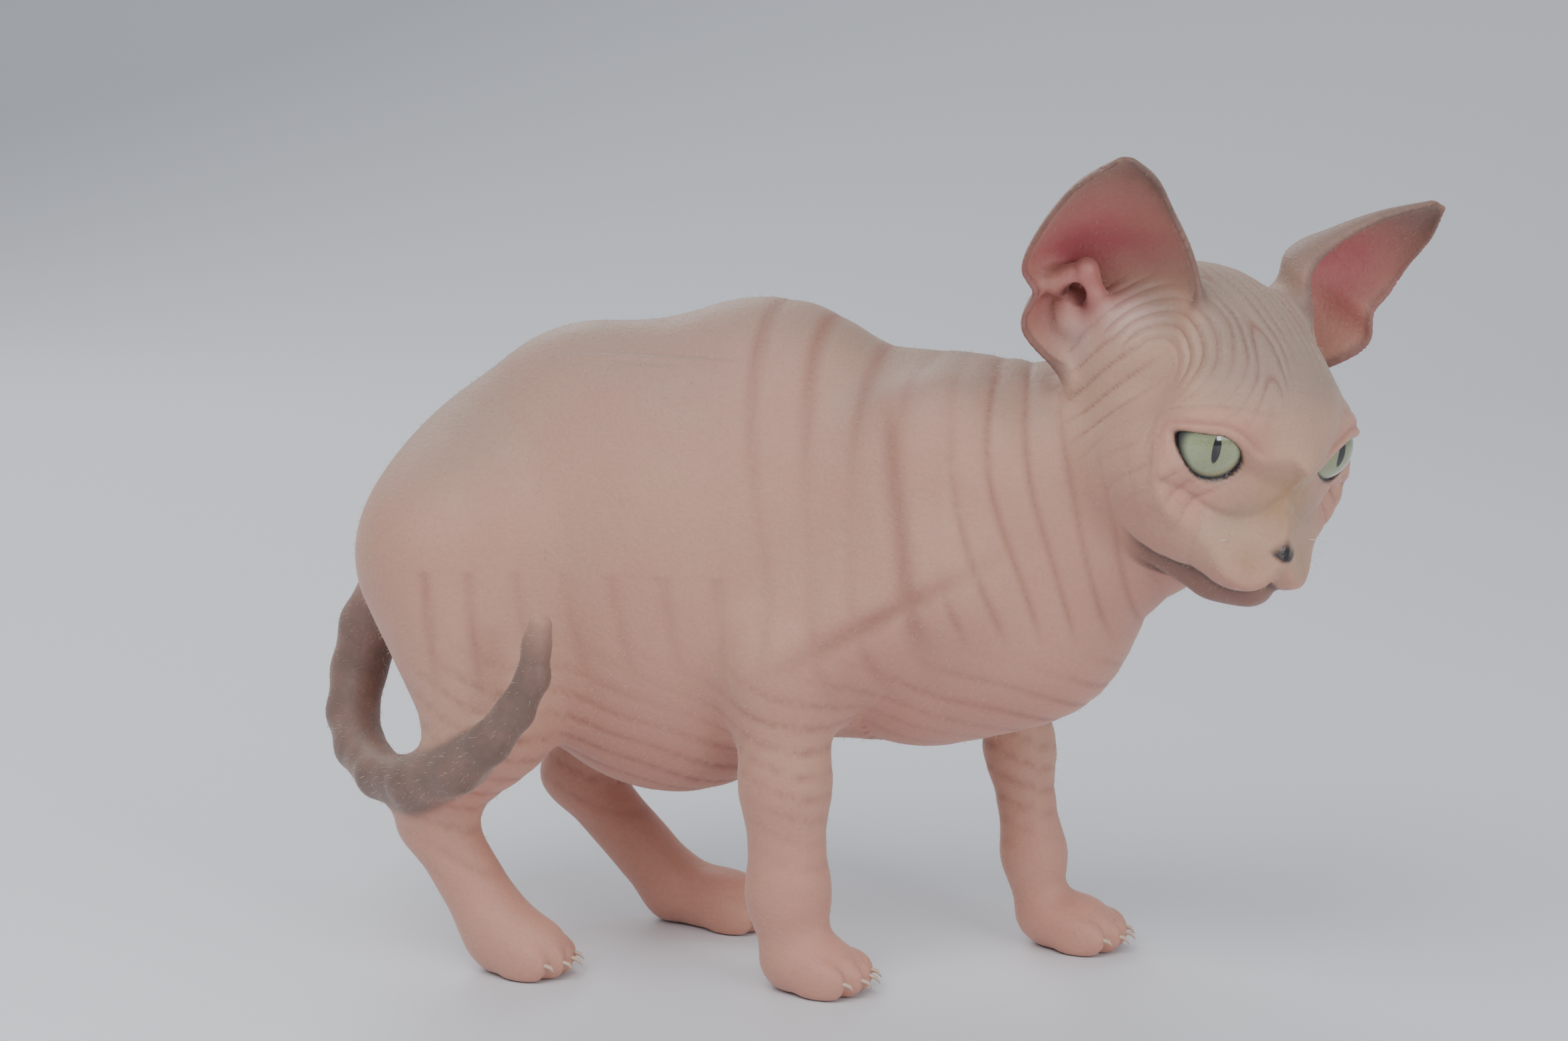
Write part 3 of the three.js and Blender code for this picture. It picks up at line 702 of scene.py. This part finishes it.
# rings round the neck, the flank and the legs
px, py, pz = points.T
offHead = 1 - onHeadMask
neckPart = step(50, 62, px) * (1 - step(96, 112, px)) * step(86, 98, pz) * offHead
neckRings = (px * 0.95 + py * 0.1 + pz * 0.2) / folds["neckWide"] + 0.4 * wobble(points, 19, 9)
foldIn(neckRings, folds["neck"], neckPart * (0.75 + 0.25 * wobble(points, 15, 10)), 0.7)
trunkPart = step(-88, -70, px) * (1 - step(44, 62, px)) * step(66, 90, pz)
trunkPart = trunkPart * offHead * (1 - tailNear)
flankRings = (px + 0.12 * pz) / folds["flankWide"] + 0.5 * wobble(points, 30, 11)
flankWeight = trunkPart * (0.55 + 0.45 * wobble(points, 24, 12)).clip(0.1, 1)
foldIn(flankRings, folds["flank"], flankWeight, 0.9)
legPart = (1 - step(76, 96, pz)) * step(16, 28, pz) * (1 - tailNear)
legRings = (pz + 0.35 * px) / folds["legWide"] + 0.5 * wobble(points, 12, 13)
legWeight = legPart * (0.5 + 0.5 * wobble(points, 14, 14)).clip(0.05, 1)
foldIn(legRings, folds["leg"], legWeight, 0.8)

# the pocket of skin in front of the belly and the fold behind the shoulder, each with painted shade in
# its groove
pocket = np.exp(-(((px - 40) / 22) ** 2)) * hump(pz, 96 + (px - 40) * 0.55, 3.0) * (py < -14)
height -= folds["pocket"] * pocket
shadeCrease(0.7 * pocket)
elbowFold = hump(px, 45 - 0.2 * (pz - 120), 2.6) * step(84, 96, pz)
elbowFold = elbowFold * (1 - step(140, 152, pz)) * (py < -18)
height -= folds["elbow"] * elbowFold
shadeCrease(0.6 * elbowFold)

# a slight unevenness, and none of it on the ears, the rims of the lids, the nose or the soles
smooth = (1 - earMask) * (1 - lidNear) * (1 - tailNear)
height += folds["uneven"] * wobble(points, 9, 15) * smooth
height *= 1 - earMask
creaseShade *= 1 - earMask
keepOff = step(2, 6, lidEdge) * step(-0.2, 1.2, noseAway) * step(0.5, 3, pz)
height *= np.where(lidNear > 0, keepOff, step(-0.2, 1.2, noseAway) * step(0.5, 3, pz))
points = points + normals * height[:, None]
normals = normalsOf(points, quads)
print("folds laid")


def spot(where, wide, places=mirrored):
    # 1 at a place of the head, fading out over the width
    return hump(np.linalg.norm(places - where, axis=-1), 0, wide)


# how much of each tone the skin takes, point by point
up = normals[:, 2]
upHead = headNormal[:, 2]
grey = offHead * step(0.1, 0.95, up) * step(92, 150, pz) * 0.75
grey = np.maximum(grey, onHeadMask * step(0.2, 0.9, upHead) * step(8, 20, z) * 0.8)
grey = np.maximum(grey, 0.55 * spot([14, 11, -10], 5.5))
pink = offHead * (0.35 + 0.45 * step(0.2, -0.8, up)) * (1 - grey)
pink = np.maximum(pink, 0.65 * step(70, 30, pz) * (1 - tailNear))
pink = np.maximum(pink, 0.6 * lidNear * np.clip(1 - np.abs(lidEdge - 14) / 26, 0, 1))
pink = np.maximum(pink, 0.5 * cheek)

# the tail, the backs of the ears, their rims and the upper part of their cups are darkest
earBack = earMask * (1 - earInside) * (0.55 + 0.3 * earHeight)
taupe = np.maximum(0.95 * tailNear * step(106, 84, pz), earBack)
edge = earMask * (step(0.9, 1.0, np.abs(earAcross)) + step(0.9, 0.99, earHeight)).clip(0, 1)
cupShade = 0.15 + 0.75 * step(0.45, 0.95, earHeight) + 0.4 * step(0.3, 1, -earAcross)
taupe = np.maximum(taupe, earMask * earInside * cupShade.clip(0, 1))
taupe = np.maximum(taupe, 0.9 * edge)
rose = earMask * earInside * hump(earHeight, 0.42, 0.28) * hump(earAcross, 0.25, 0.75)
rose = np.maximum(rose, 0.85 * spot([-41, -32, 16], 9, q))
# painted shade: the hole at the ear's root, darkened almost to black
canalShade = np.maximum(spot([-39.2, -30.2, 11.6], 2.6, q), spot([-43.6, -34.5, 12.4], 2.2, q))
pale = spot([-31.5, 25, 14], 6.5) * (1 - canalShade)
pale = np.maximum(pale, spot([-38, 32, 2], 6.0))

# the rims of the lids, the nose leather and the line of the lips
dark = step(eye["radius"] + 1.1, eye["radius"] + 0.3, eyeDepth) * step(12, 8, lidEdge) * lidNear
leather = np.sqrt((y / 6.0) ** 2 + ((z + 14.0) / 4.3) ** 2)
dark = np.maximum(dark, step(1.08, 0.86, leather) * step(23, 25, x))
lipLine = step(1.5, 0.3, np.abs(jawAway - 0.7)) * step(-6, 2, x) * (z < -20) * 0.75
dark = np.maximum(dark, lipLine)
bridge = np.linalg.norm((mirrored - [20, 2, -6]) / [1.4, 1, 1], axis=-1)
ginger = np.maximum(hump(bridge, 0, 8.5), 0.7 * spot([23, 7, -20], 6))


def meshOf(name, vertices, faces):
    # a smooth-shaded piece from points in millimetres of this script's own frame
    mesh = bpy.data.meshes.new(name)
    mesh.from_pydata(((vertices + shift) / 1000).tolist(), [], faces)
    mesh.update()
    mesh.polygons.foreach_set("use_smooth", np.ones(len(mesh.polygons), bool))
    made = bpy.data.objects.new(name, mesh)
    bpy.context.scene.collection.objects.link(made)
    return made


def keepPer(mesh, name, *values):
    # up to three numbers a point, kept as one attribute
    values = [np.broadcast_to(v, len(mesh.vertices)) for v in values]
    while len(values) < 3:
        values.append(np.zeros(len(mesh.vertices)))
    made = mesh.attributes.new(name, "FLOAT_VECTOR", "POINT")
    made.data.foreach_set("vector", np.stack(values, -1).astype(np.float32).ravel())


# the solid of the right eye, whose middle lies here on the head, says where the whole cat
# stands; the eyes drawn here are a little larger than the solids and further apart
solidEye = np.array([1.5, -16.0, 0.0])
low, high = (np.array(c) * 1000 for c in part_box("eye_right"))
shift = (low + high) / 2 - fromHead(solidEye)
print("shift", shift)


class Value:
    # a number socket that takes part in plain sums, by way of Math nodes
    def __init__(self, look, socket):
        self.look = look
        self.socket = socket

    def of(self, kind, *others, clamp=False):
        made = self.look.node("ShaderNodeMath", dict(operation=kind, use_clamp=clamp))
        for slot, other in zip(made.inputs, (self, *others)):
            self.look.feed(slot, other)
        return Value(self.look, made.outputs[0])

    def __add__(self, other):
        return self.of("ADD", other)

    def __mul__(self, other):
        return self.of("MULTIPLY", other)

    def __sub__(self, other):
        return self.of("SUBTRACT", other)

    def __rsub__(self, other):
        return self.of("MULTIPLY", -1) + other

    def __pow__(self, other):
        return self.of("POWER", other)

    __radd__ = __add__
    __rmul__ = __mul__

    def between(self, low, high):
        # 0 below low, 1 above high
        return ((self - low) * (1 / (high - low))).of("ADD", 0, clamp=True)


class Look:
    # a material and the few node calls that it takes
    def __init__(self, name, roughness=0.5):
        self.material = bpy.data.materials.new(name)
        self.material.use_nodes = True
        self.tree = self.material.node_tree
        self.shader = self.tree.nodes["Principled BSDF"]
        self.shader.inputs["Roughness"].default_value = roughness
        self.place = self.node("ShaderNodeTexCoord").outputs["Object"]

    def node(self, kind, settings=None, inputs=None):
        made = self.tree.nodes.new(kind)
        for key, value in (settings or {}).items():
            setattr(made, key, value)
        for key, value in (inputs or {}).items():
            self.feed(made.inputs[key], value)
        return made

    def feed(self, slot, value):
        if isinstance(value, Value):
            value = value.socket
        if isinstance(value, bpy.types.NodeSocket):
            self.tree.links.new(value, slot)
        else:
            slot.default_value = value

    def per(self, name):
        got = self.node("ShaderNodeAttribute", dict(attribute_name=name))
        parts = self.node("ShaderNodeSeparateXYZ", None, {0: got.outputs["Vector"]})
        return [Value(self, out) for out in parts.outputs]

    def noise(self, scale, detail=3.0, rough=0.5):
        made = self.node(
            "ShaderNodeTexNoise", None,
            dict(Vector=self.place, Scale=scale, Detail=detail, Roughness=rough),
        )
        return Value(self, made.outputs[0])

    def mix(self, factor, a, b, kind="MIX"):
        made = self.node("ShaderNodeMix", dict(data_type="RGBA", blend_type=kind))
        self.feed(made.inputs[0], factor)
        self.feed(made.inputs[6], a if not isinstance(a, tuple) else (*a, 1))
        self.feed(made.inputs[7], b if not isinstance(b, tuple) else (*b, 1))
        return made.outputs[2]

    def bump(self, height, distance, strength=1.0, under=None):
        made = self.node("ShaderNodeBump", None, dict(Strength=strength, Distance=distance))
        self.feed(made.inputs["Height"], height)
        if under is not None:
            self.feed(made.inputs["Normal"], under)
        return made.outputs[0]


# tones as linear colours
tones = dict(
    skin=(0.50, 0.300, 0.212), grey=(0.270, 0.200, 0.160), pink=(0.56, 0.245, 0.190),
    taupe=(0.165, 0.100, 0.080), rose=(0.44, 0.110, 0.120), canalShade=(0.100, 0.005, 0.008),
    pale=(0.66, 0.46, 0.40), dark=(0.016, 0.009, 0.011), ginger=(0.34, 0.195, 0.090),
    creaseShade=(0.235, 0.075, 0.055),
)
# how far light goes into the skin, its velvet sheen and how fine its noises are
shade = dict(
    through=0.28, reach=(1.0, 0.38, 0.22), depth=0.0032, sheen=0.22, sheenRough=0.45,
    sheenTint=(1, 0.9, 0.82, 1), broad=38, patchy=120, grain=900, pores=2600,
)
skinLook = Look("skin")
skinShader = skinLook.shader
skinShader.inputs["Subsurface Weight"].default_value = shade["through"]
skinShader.inputs["Subsurface Radius"].default_value = shade["reach"]
skinShader.inputs["Subsurface Scale"].default_value = shade["depth"]
skinShader.inputs["Sheen Weight"].default_value = shade["sheen"]
skinShader.inputs["Sheen Roughness"].default_value = shade["sheenRough"]
skinShader.inputs["Sheen Tint"].default_value = shade["sheenTint"]
greyOf, pinkOf, taupeOf = skinLook.per("tonesOne")
roseOf, canalShadeOf, paleOf = skinLook.per("tonesTwo")
darkOf, gingerOf, creaseShadeOf = skinLook.per("tonesThree")
phaseOf, lineOf, wetOf = skinLook.per("lines")
broad = skinLook.noise(shade["broad"], 4)
patchy = skinLook.noise(shade["patchy"], 5, rough=0.62)
grain = skinLook.noise(shade["grain"], 3)
pores = skinLook.noise(shade["pores"], 2)
cloud = (broad - 0.5) * 1.1 + (patchy - 0.5) * 0.7
wave = (phaseOf * math.pi).of("SINE").of("ABSOLUTE")
# painted shade: a dark line along each valley of the forehead's folds
line = ((1 - wave.between(0.0, 0.5)) * lineOf).of("ADD", 0, clamp=True)
colour = skinLook.mix((greyOf + cloud * 0.35).of("ADD", 0, clamp=True), tones["skin"], tones["grey"])
colour = skinLook.mix((pinkOf + cloud * 0.5).of("ADD", 0, clamp=True), colour, tones["pink"])
colour = skinLook.mix((gingerOf * (patchy * 1.3)).of("ADD", 0, clamp=True), colour, tones["ginger"])
colour = skinLook.mix((paleOf * (broad + 0.35)).of("ADD", 0, clamp=True), colour, tones["pale"])
colour = skinLook.mix((taupeOf * (patchy * 0.7 + 0.62)).of("ADD", 0, clamp=True), colour, tones["taupe"])
colour = skinLook.mix((roseOf * (patchy + 0.45)).of("ADD", 0, clamp=True), colour, tones["rose"])
# painted shade in the creases and along the forehead lines
colour = skinLook.mix((creaseShadeOf * 0.72 + line * 0.5).of("ADD", 0, clamp=True), colour, tones["creaseShade"])
# painted shade in the hole of the ear
colour = skinLook.mix(canalShadeOf, colour, tones["canalShade"])
colour = skinLook.mix(darkOf, colour, tones["dark"])
speck = (grain - 0.5) * 0.16 + 1.0
speckle = skinLook.node("ShaderNodeCombineXYZ", None, {0: speck, 1: speck, 2: speck}).outputs[0]
colour = skinLook.mix(1.0, colour, speckle, "MULTIPLY")
skinLook.feed(skinShader.inputs["Base Color"], colour)
rough = 0.56 + (patchy - 0.5) * 0.2 - wetOf * 0.34 + creaseShadeOf * 0.06
skinLook.feed(skinShader.inputs["Roughness"], rough)
fine = skinLook.bump(pores, 0.00012, 0.5)
fine = skinLook.bump(grain, 0.00035, 0.55, fine)
fine = skinLook.bump(wave * lineOf, 0.0009, 0.8, fine)
skinLook.feed(skinShader.inputs["Normal"], fine)

skinPiece = meshOf("skin", points, quads.tolist())
skinMesh = skinPiece.data
wet = np.maximum(step(1.2, 0.2, noseAway), step(2.0, 0.4, lidEdge) * lidNear)
wet = np.maximum(wet, 0.6 * spot([-41, -32, 16], 8, q))
keepPer(skinMesh, "tonesOne", grey, pink, taupe)
keepPer(skinMesh, "tonesTwo", rose, canalShade, pale)
keepPer(skinMesh, "tonesThree", dark, ginger, creaseShade)
keepPer(skinMesh, "lines", foreheadPhase, foreheadWeight, wet)
skinMesh.materials.append(skinLook.material)
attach(skinPiece, "root")
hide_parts(*[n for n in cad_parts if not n.startswith("eye_")])
print("skin", len(points))

# eyeballs: the iris almost fills the opening, with a narrow upright pupil
iris = dict(pupilWide=0.10, pupilTall=0.34, bulge=0.55)
gazes = dict(right=np.array([0.83, -0.45, 0.30]), left=np.array([0.90, 0.02, 0.30]))


def eyeball(side):
    gaze = gazes[side] / np.linalg.norm(gazes[side])
    upward = np.array([-0.3, 0, 0.95])
    upward -= gaze * (upward @ gaze)
    upward /= np.linalg.norm(upward)
    aside = np.cross(upward, gaze)
    rows = np.linspace(0, np.pi, 65)
    turns = np.linspace(0, 2 * np.pi, 97)[:-1]
    vertices = [gaze]
    for angle in rows[1:-1]:
        for turn in turns:
            flat = aside * np.cos(turn) + upward * np.sin(turn)
            vertices.append(gaze * np.cos(angle) + flat * np.sin(angle))
    vertices.append(-gaze)
    unit = np.array(vertices)
    count = len(turns)
    faces = [[0, 1 + n, 1 + (n + 1) % count] for n in range(count)]
    for row in range(len(rows) - 3):
        start = 1 + row * count
        for n in range(count):
            m = (n + 1) % count
            faces.append([start + n, start + count + n, start + count + m, start + m])
    last = len(unit) - 1
    start = last - count
    faces += [[start + n, last, start + (n + 1) % count] for n in range(count)]
    forward = unit @ gaze
    radius = eye["radius"] + 0.25 + iris["bulge"] * step(0.6, 1.0, forward) - iris["bulge"] * 0.6
    placed = fromHead(eyes[side]["centre"] + unit * radius[:, None])
    mesh = bpy.data.meshes.new("eye_" + side)
    mesh.from_pydata(((placed + shift) / 1000).tolist(), [], faces)
    mesh.polygons.foreach_set("use_smooth", np.ones(len(mesh.polygons), bool))
    keepPer(mesh, "aim", unit @ aside, unit @ upward, forward)
    piece = bpy.data.objects.new("eyeball_" + side, mesh)
    bpy.context.scene.collection.objects.link(piece)
    mesh.materials.append(eyeLook.material)
    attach(piece, "root")
    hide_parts("eye_" + side)


# the iris from the pupil outward, the dark ring about it and the shade of the upper lid
irisTones = dict(
    inner=(0.20, 0.215, 0.095), outer=(0.30, 0.35, 0.20), fibre=(0.40, 0.44, 0.28),
    ring=(0.055, 0.07, 0.06), rim=(0.014, 0.010, 0.012), shade=(0.05, 0.055, 0.045),
    pupil=(0.004, 0.004, 0.005),
)
eyeLook = Look("eye", 0.12)
eyeShader = eyeLook.shader
eyeShader.inputs["Coat Weight"].default_value = 1.0
eyeShader.inputs["Coat Roughness"].default_value = 0.02
eyeShader.inputs["Coat IOR"].default_value = 1.42
aimAside, aimUp, _ = eyeLook.per("aim")
ringAt = (aimAside * aimAside + aimUp * aimUp) ** 0.5
spoke = eyeLook.node("ShaderNodeMath", dict(operation="ARCTAN2"))
eyeLook.feed(spoke.inputs[0], aimUp)
eyeLook.feed(spoke.inputs[1], aimAside)
spokeAt = Value(eyeLook, spoke.outputs[0]) * 9.0
fibreAt = eyeLook.node("ShaderNodeCombineXYZ", None, {0: spokeAt, 1: ringAt * 3.0})
fibreNoise = eyeLook.node(
    "ShaderNodeTexNoise", None, dict(Vector=fibreAt.outputs[0], Scale=2.2, Detail=4.0)
)
fibre = Value(eyeLook, fibreNoise.outputs[0])
tone = eyeLook.mix(ringAt.between(0.1, 0.7), irisTones["inner"], irisTones["outer"])
tone = eyeLook.mix((fibre - 0.38) * 1.4, tone, irisTones["fibre"])
tone = eyeLook.mix(ringAt.between(0.62, 0.78), tone, irisTones["ring"])
tone = eyeLook.mix(ringAt.between(0.78, 0.83), tone, irisTones["rim"])
tone = eyeLook.mix(aimUp.between(0.05, 0.7) * 0.6, tone, irisTones["shade"])
slitAside = (aimAside * aimAside) * (1 / iris["pupilWide"] ** 2)
slit = slitAside + (aimUp * aimUp) * (1 / iris["pupilTall"] ** 2)
tone = eyeLook.mix(1 - slit.between(0.85, 1.15), tone, irisTones["pupil"])
eyeLook.feed(eyeShader.inputs["Base Color"], tone)
for side in eyes:
    eyeball(side)
print("eyes")


class Strands:
    # tapered rods of a few sides, bent through three points, gathered into one piece; each
    # rod has a small patch of the UV map to itself
    patchWide = 0.003

    def __init__(self, sides):
        self.sides = sides
        self.vertices = []
        self.faces = []
        self.patches = []

    def add(self, start, middle, end, radius, patch=(0, 0)):
        along = end - start
        along = along / np.linalg.norm(along)
        aside = np.cross(along, [0.31, 0.42, 0.85])
        aside /= np.linalg.norm(aside)
        other = np.cross(along, aside)
        first = len(self.vertices)
        for place, (at, wide) in enumerate(((start, 1.0), (middle, 0.72))):
            for n in range(self.sides):
                turn = 2 * math.pi * n / self.sides
                spread = aside * math.cos(turn) + other * math.sin(turn)
                self.vertices.append(at + spread * radius * wide)
                across = self.patchWide * n / self.sides
                upward = self.patchWide * 0.4 * place
                self.patches.append((patch[0] + across, patch[1] + upward))
        self.vertices.append(end)
        self.patches.append((patch[0] + self.patchWide / 2, patch[1] + self.patchWide))
        ring = range(self.sides)
        second = first + self.sides
        self.faces.append([first + n for n in reversed(ring)])
        for n in ring:
            m = (n + 1) % self.sides
            self.faces.append([first + n, first + m, second + m, second + n])
            self.faces.append([second + n, second + m, second + self.sides])

    def piece(self, name, look, slot):
        made = meshOf(name, np.array(self.vertices), self.faces)
        made.data.materials.append(look.material)
        layer = made.data.uv_layers.new(name="OFBake")
        corner = np.empty(len(made.data.loops), int)
        made.data.loops.foreach_get("vertex_index", corner)
        layer.data.foreach_set("uv", np.array(self.patches)[corner].astype(np.float32).ravel())
        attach(made, "root")
        return made


def plainLook(name, colour, roughness, translucence):
    look = Look(name, roughness)
    look.shader.inputs["Base Color"].default_value = (*colour, 1)
    look.shader.inputs["Subsurface Weight"].default_value = translucence
    look.shader.inputs["Subsurface Scale"].default_value = 0.001
    return look


claw = dict(length=3.4, drop=2.2, radius=0.75, buried=1.6, colour=(0.55, 0.42, 0.32))
clawRods = Strands(8)
for at, along in claws:
    tip = at + along * claw["length"] - np.array([0, 0, claw["drop"]])
    bend = at + along * claw["length"] * 0.62 - np.array([0, 0, claw["drop"] * 0.3])
    clawRods.add(at - along * claw["buried"], bend, tip, claw["radius"])
clawRods.piece("claws", plainLook("claw", claw["colour"], 0.28, 0.4), "skin")

# broken whiskers, in three rows of three on each side of the muzzle
whisker = dict(
    shortest=3.5, longest=9, radius=0.14, rows=3, each=3, sag=0.12, seed=11,
    colour=(0.75, 0.70, 0.64),
)
whiskers = Strands(5)
chance = np.random.default_rng(whisker["seed"])
for sign in (-1, 1):
    for row in range(whisker["rows"]):
        for n in range(whisker["each"]):
            root = np.array([18.5 - 3.4 * n, sign * (13.2 + 0.9 * n), -17.0 - 2.4 * row])
            lean = np.array([0.15 - 0.12 * n, sign * 0.9, 0.06 - 0.16 * row])
            long = chance.uniform(whisker["shortest"], whisker["longest"])
            end = root + lean * long - np.array([0, 0, whisker["sag"] * long])
            bend = root + lean * long * 0.5
            whiskers.add(fromHead(root), fromHead(bend), fromHead(end), whisker["radius"])
whiskers.piece("whiskers", plainLook("whisker", whisker["colour"], 0.4, 0.2), "skin")
print("claws and whiskers")

# a short down, thickest on the backs of the ears and on the tail
down = dict(
    count=9000, long=1.5, radius=0.045, buried=0.12, stray=0.25, onEars=1.2, onTail=0.8, seed=7,
    colour=(0.62, 0.50, 0.42),
)
chance = np.random.default_rng(down["seed"])
corners = points[quads]
crossed = np.cross(corners[:, 2] - corners[:, 0], corners[:, 3] - corners[:, 1])
areas = np.linalg.norm(crossed, axis=-1) / 2
middle = corners.mean(1)
quadNormal = normals[quads].mean(1)
quadNormal /= np.linalg.norm(quadNormal, axis=-1, keepdims=True) + 1e-9
bare = (middle[:, 2] < 6) | (lidEdge[quads].min(1) < 9) | (noseAway[quads].min(1) < 1.5)
bare |= (canalShade[quads].max(1) > 0.1) | (jawAway[quads].min(1) < 1.4) & (creaseShade[quads].max(1) > 0.3)
earBacks = earMask[quads].mean(1) * (1 - earInside[quads].mean(1))
ranks = areas * (1 + down["onEars"] * earBacks + down["onTail"] * tailNear[quads].mean(1))
ranks = np.where(bare, 0, ranks)
chosen = chance.choice(len(quads), down["count"], p=ranks / ranks.sum())
mix = chance.dirichlet((1, 1, 1, 1), down["count"])
roots = (corners[chosen] * mix[..., None]).sum(1)
outwards = quadNormal[chosen]
headward = onHeadMask[quads].mean(1)[chosen][:, None]
backward = np.array([-0.8, 0, -0.6]) * (1 - headward) + (headTurn @ [-0.9, 0, 0.3]) * headward
lowest = points.min(0)
reachOf = np.ptp(points, axis=0)
downRods = Strands(3)
for n in range(down["count"]):
    out = outwards[n]
    lay = backward[n] - out * (backward[n] @ out) + chance.normal(0, down["stray"], 3)
    long = down["long"] * chance.uniform(0.55, 1.1)
    axis = int(np.argmax(np.abs(out)))
    cell = axis + 3 * (out[axis] > 0)
    flat = [((roots[n] - lowest) / reachOf)[a] for a in range(3) if a != axis]
    patch = ((cell % 3 + 0.03 + 0.93 * flat[0]) / 3, (cell // 3 + 0.03 + 0.93 * flat[1]) / 2)
    bend = roots[n] + (out * 0.42 + lay * 0.25) * long
    tip = bend + (out * 0.22 + lay * 0.5) * long
    downRods.add(roots[n] - out * down["buried"], bend, tip, down["radius"], patch)
downRods.piece("down", plainLook("down", down["colour"], 0.6, 0.2), "skin")
print("down", len(downRods.faces))

# camera, floor and light
shot = dict(lens=80, sensor=36, azimuth=20, climb=9.2, distance=900, target=(0, 0, 112.0))
camera = bpy.data.objects.new("camera", bpy.data.cameras.new("camera"))
bpy.context.scene.collection.objects.link(camera)
camera.data.lens = shot["lens"]
camera.data.sensor_width = shot["sensor"]
azimuth = math.radians(shot["azimuth"])
climb = math.radians(shot["climb"])
level = math.cos(climb)
away = np.array([math.sin(azimuth) * level, -math.cos(azimuth) * level, math.sin(climb)])
place = np.array(shot["target"]) + away * shot["distance"]
camera.location = Vector((place + shift) / 1000)
camera.rotation_euler = Vector(-away).to_track_quat("-Z", "Y").to_euler()
bpy.context.scene.camera = camera

# a pale floor that curves up into a wall behind
floor = dict(front=-4, back=1.2, bend=1.6, top=6, half=8, colour=(0.72, 0.74, 0.78, 1))
profile = [(floor["front"], 0), (floor["back"], 0)]
for a in np.linspace(0, math.pi / 2, 33)[1:]:
    behind = floor["back"] + floor["bend"] * math.sin(a)
    profile.append((behind, floor["bend"] - floor["bend"] * math.cos(a)))
profile.append((floor["back"] + floor["bend"], floor["top"]))
floorMesh = bpy.data.meshes.new("floor")
floorMesh.from_pydata(
    [(x, y, z) for x in (-floor["half"], floor["half"]) for y, z in profile],
    [],
    [(n, n + len(profile), n + 1 + len(profile), n + 1) for n in range(len(profile) - 1)],
)
floorMesh.polygons.foreach_set("use_smooth", np.ones(len(profile) - 1, bool))
floorPiece = bpy.data.objects.new("floor", floorMesh)
bpy.context.scene.collection.objects.link(floorPiece)
floorMat = bpy.data.materials.new("floor")
floorMat.use_nodes = True
floorMat.node_tree.nodes["Principled BSDF"].inputs["Base Color"].default_value = floor["colour"]
floorMesh.materials.append(floorMat)


def lamp(name, where, size, power):
    data = bpy.data.lights.new(name, "AREA")
    data.size = size
    data.energy = power
    made = bpy.data.objects.new(name, data)
    made.location = where
    toCat = Vector((0, 0, 0.1)) - Vector(where)
    made.rotation_euler = toCat.to_track_quat("-Z", "Y").to_euler()
    bpy.context.scene.collection.objects.link(made)


# each lamp's place and width in metres and its power in watts; the glint shows in the eyes
lamps = dict(
    window=((-0.2, -1.2, 1.5), 1.2, 22), fill=((1.4, -0.6, 0.8), 1.0, 6),
    glint=((1.02, -0.80, 0.44), 0.26, 2.5), rim=((-1.0, 1.0, 1.2), 1.0, 12),
)
for name, (where, size, power) in lamps.items():
    lamp(name, where, size, power)
sky = dict(colour=(0.80, 0.83, 0.88, 1), strength=0.55)
world = bpy.data.worlds.new("studio")
world.use_nodes = True
background = world.node_tree.nodes["Background"]
background.inputs["Color"].default_value = sky["colour"]
background.inputs["Strength"].default_value = sky["strength"]
bpy.context.scene.world = world
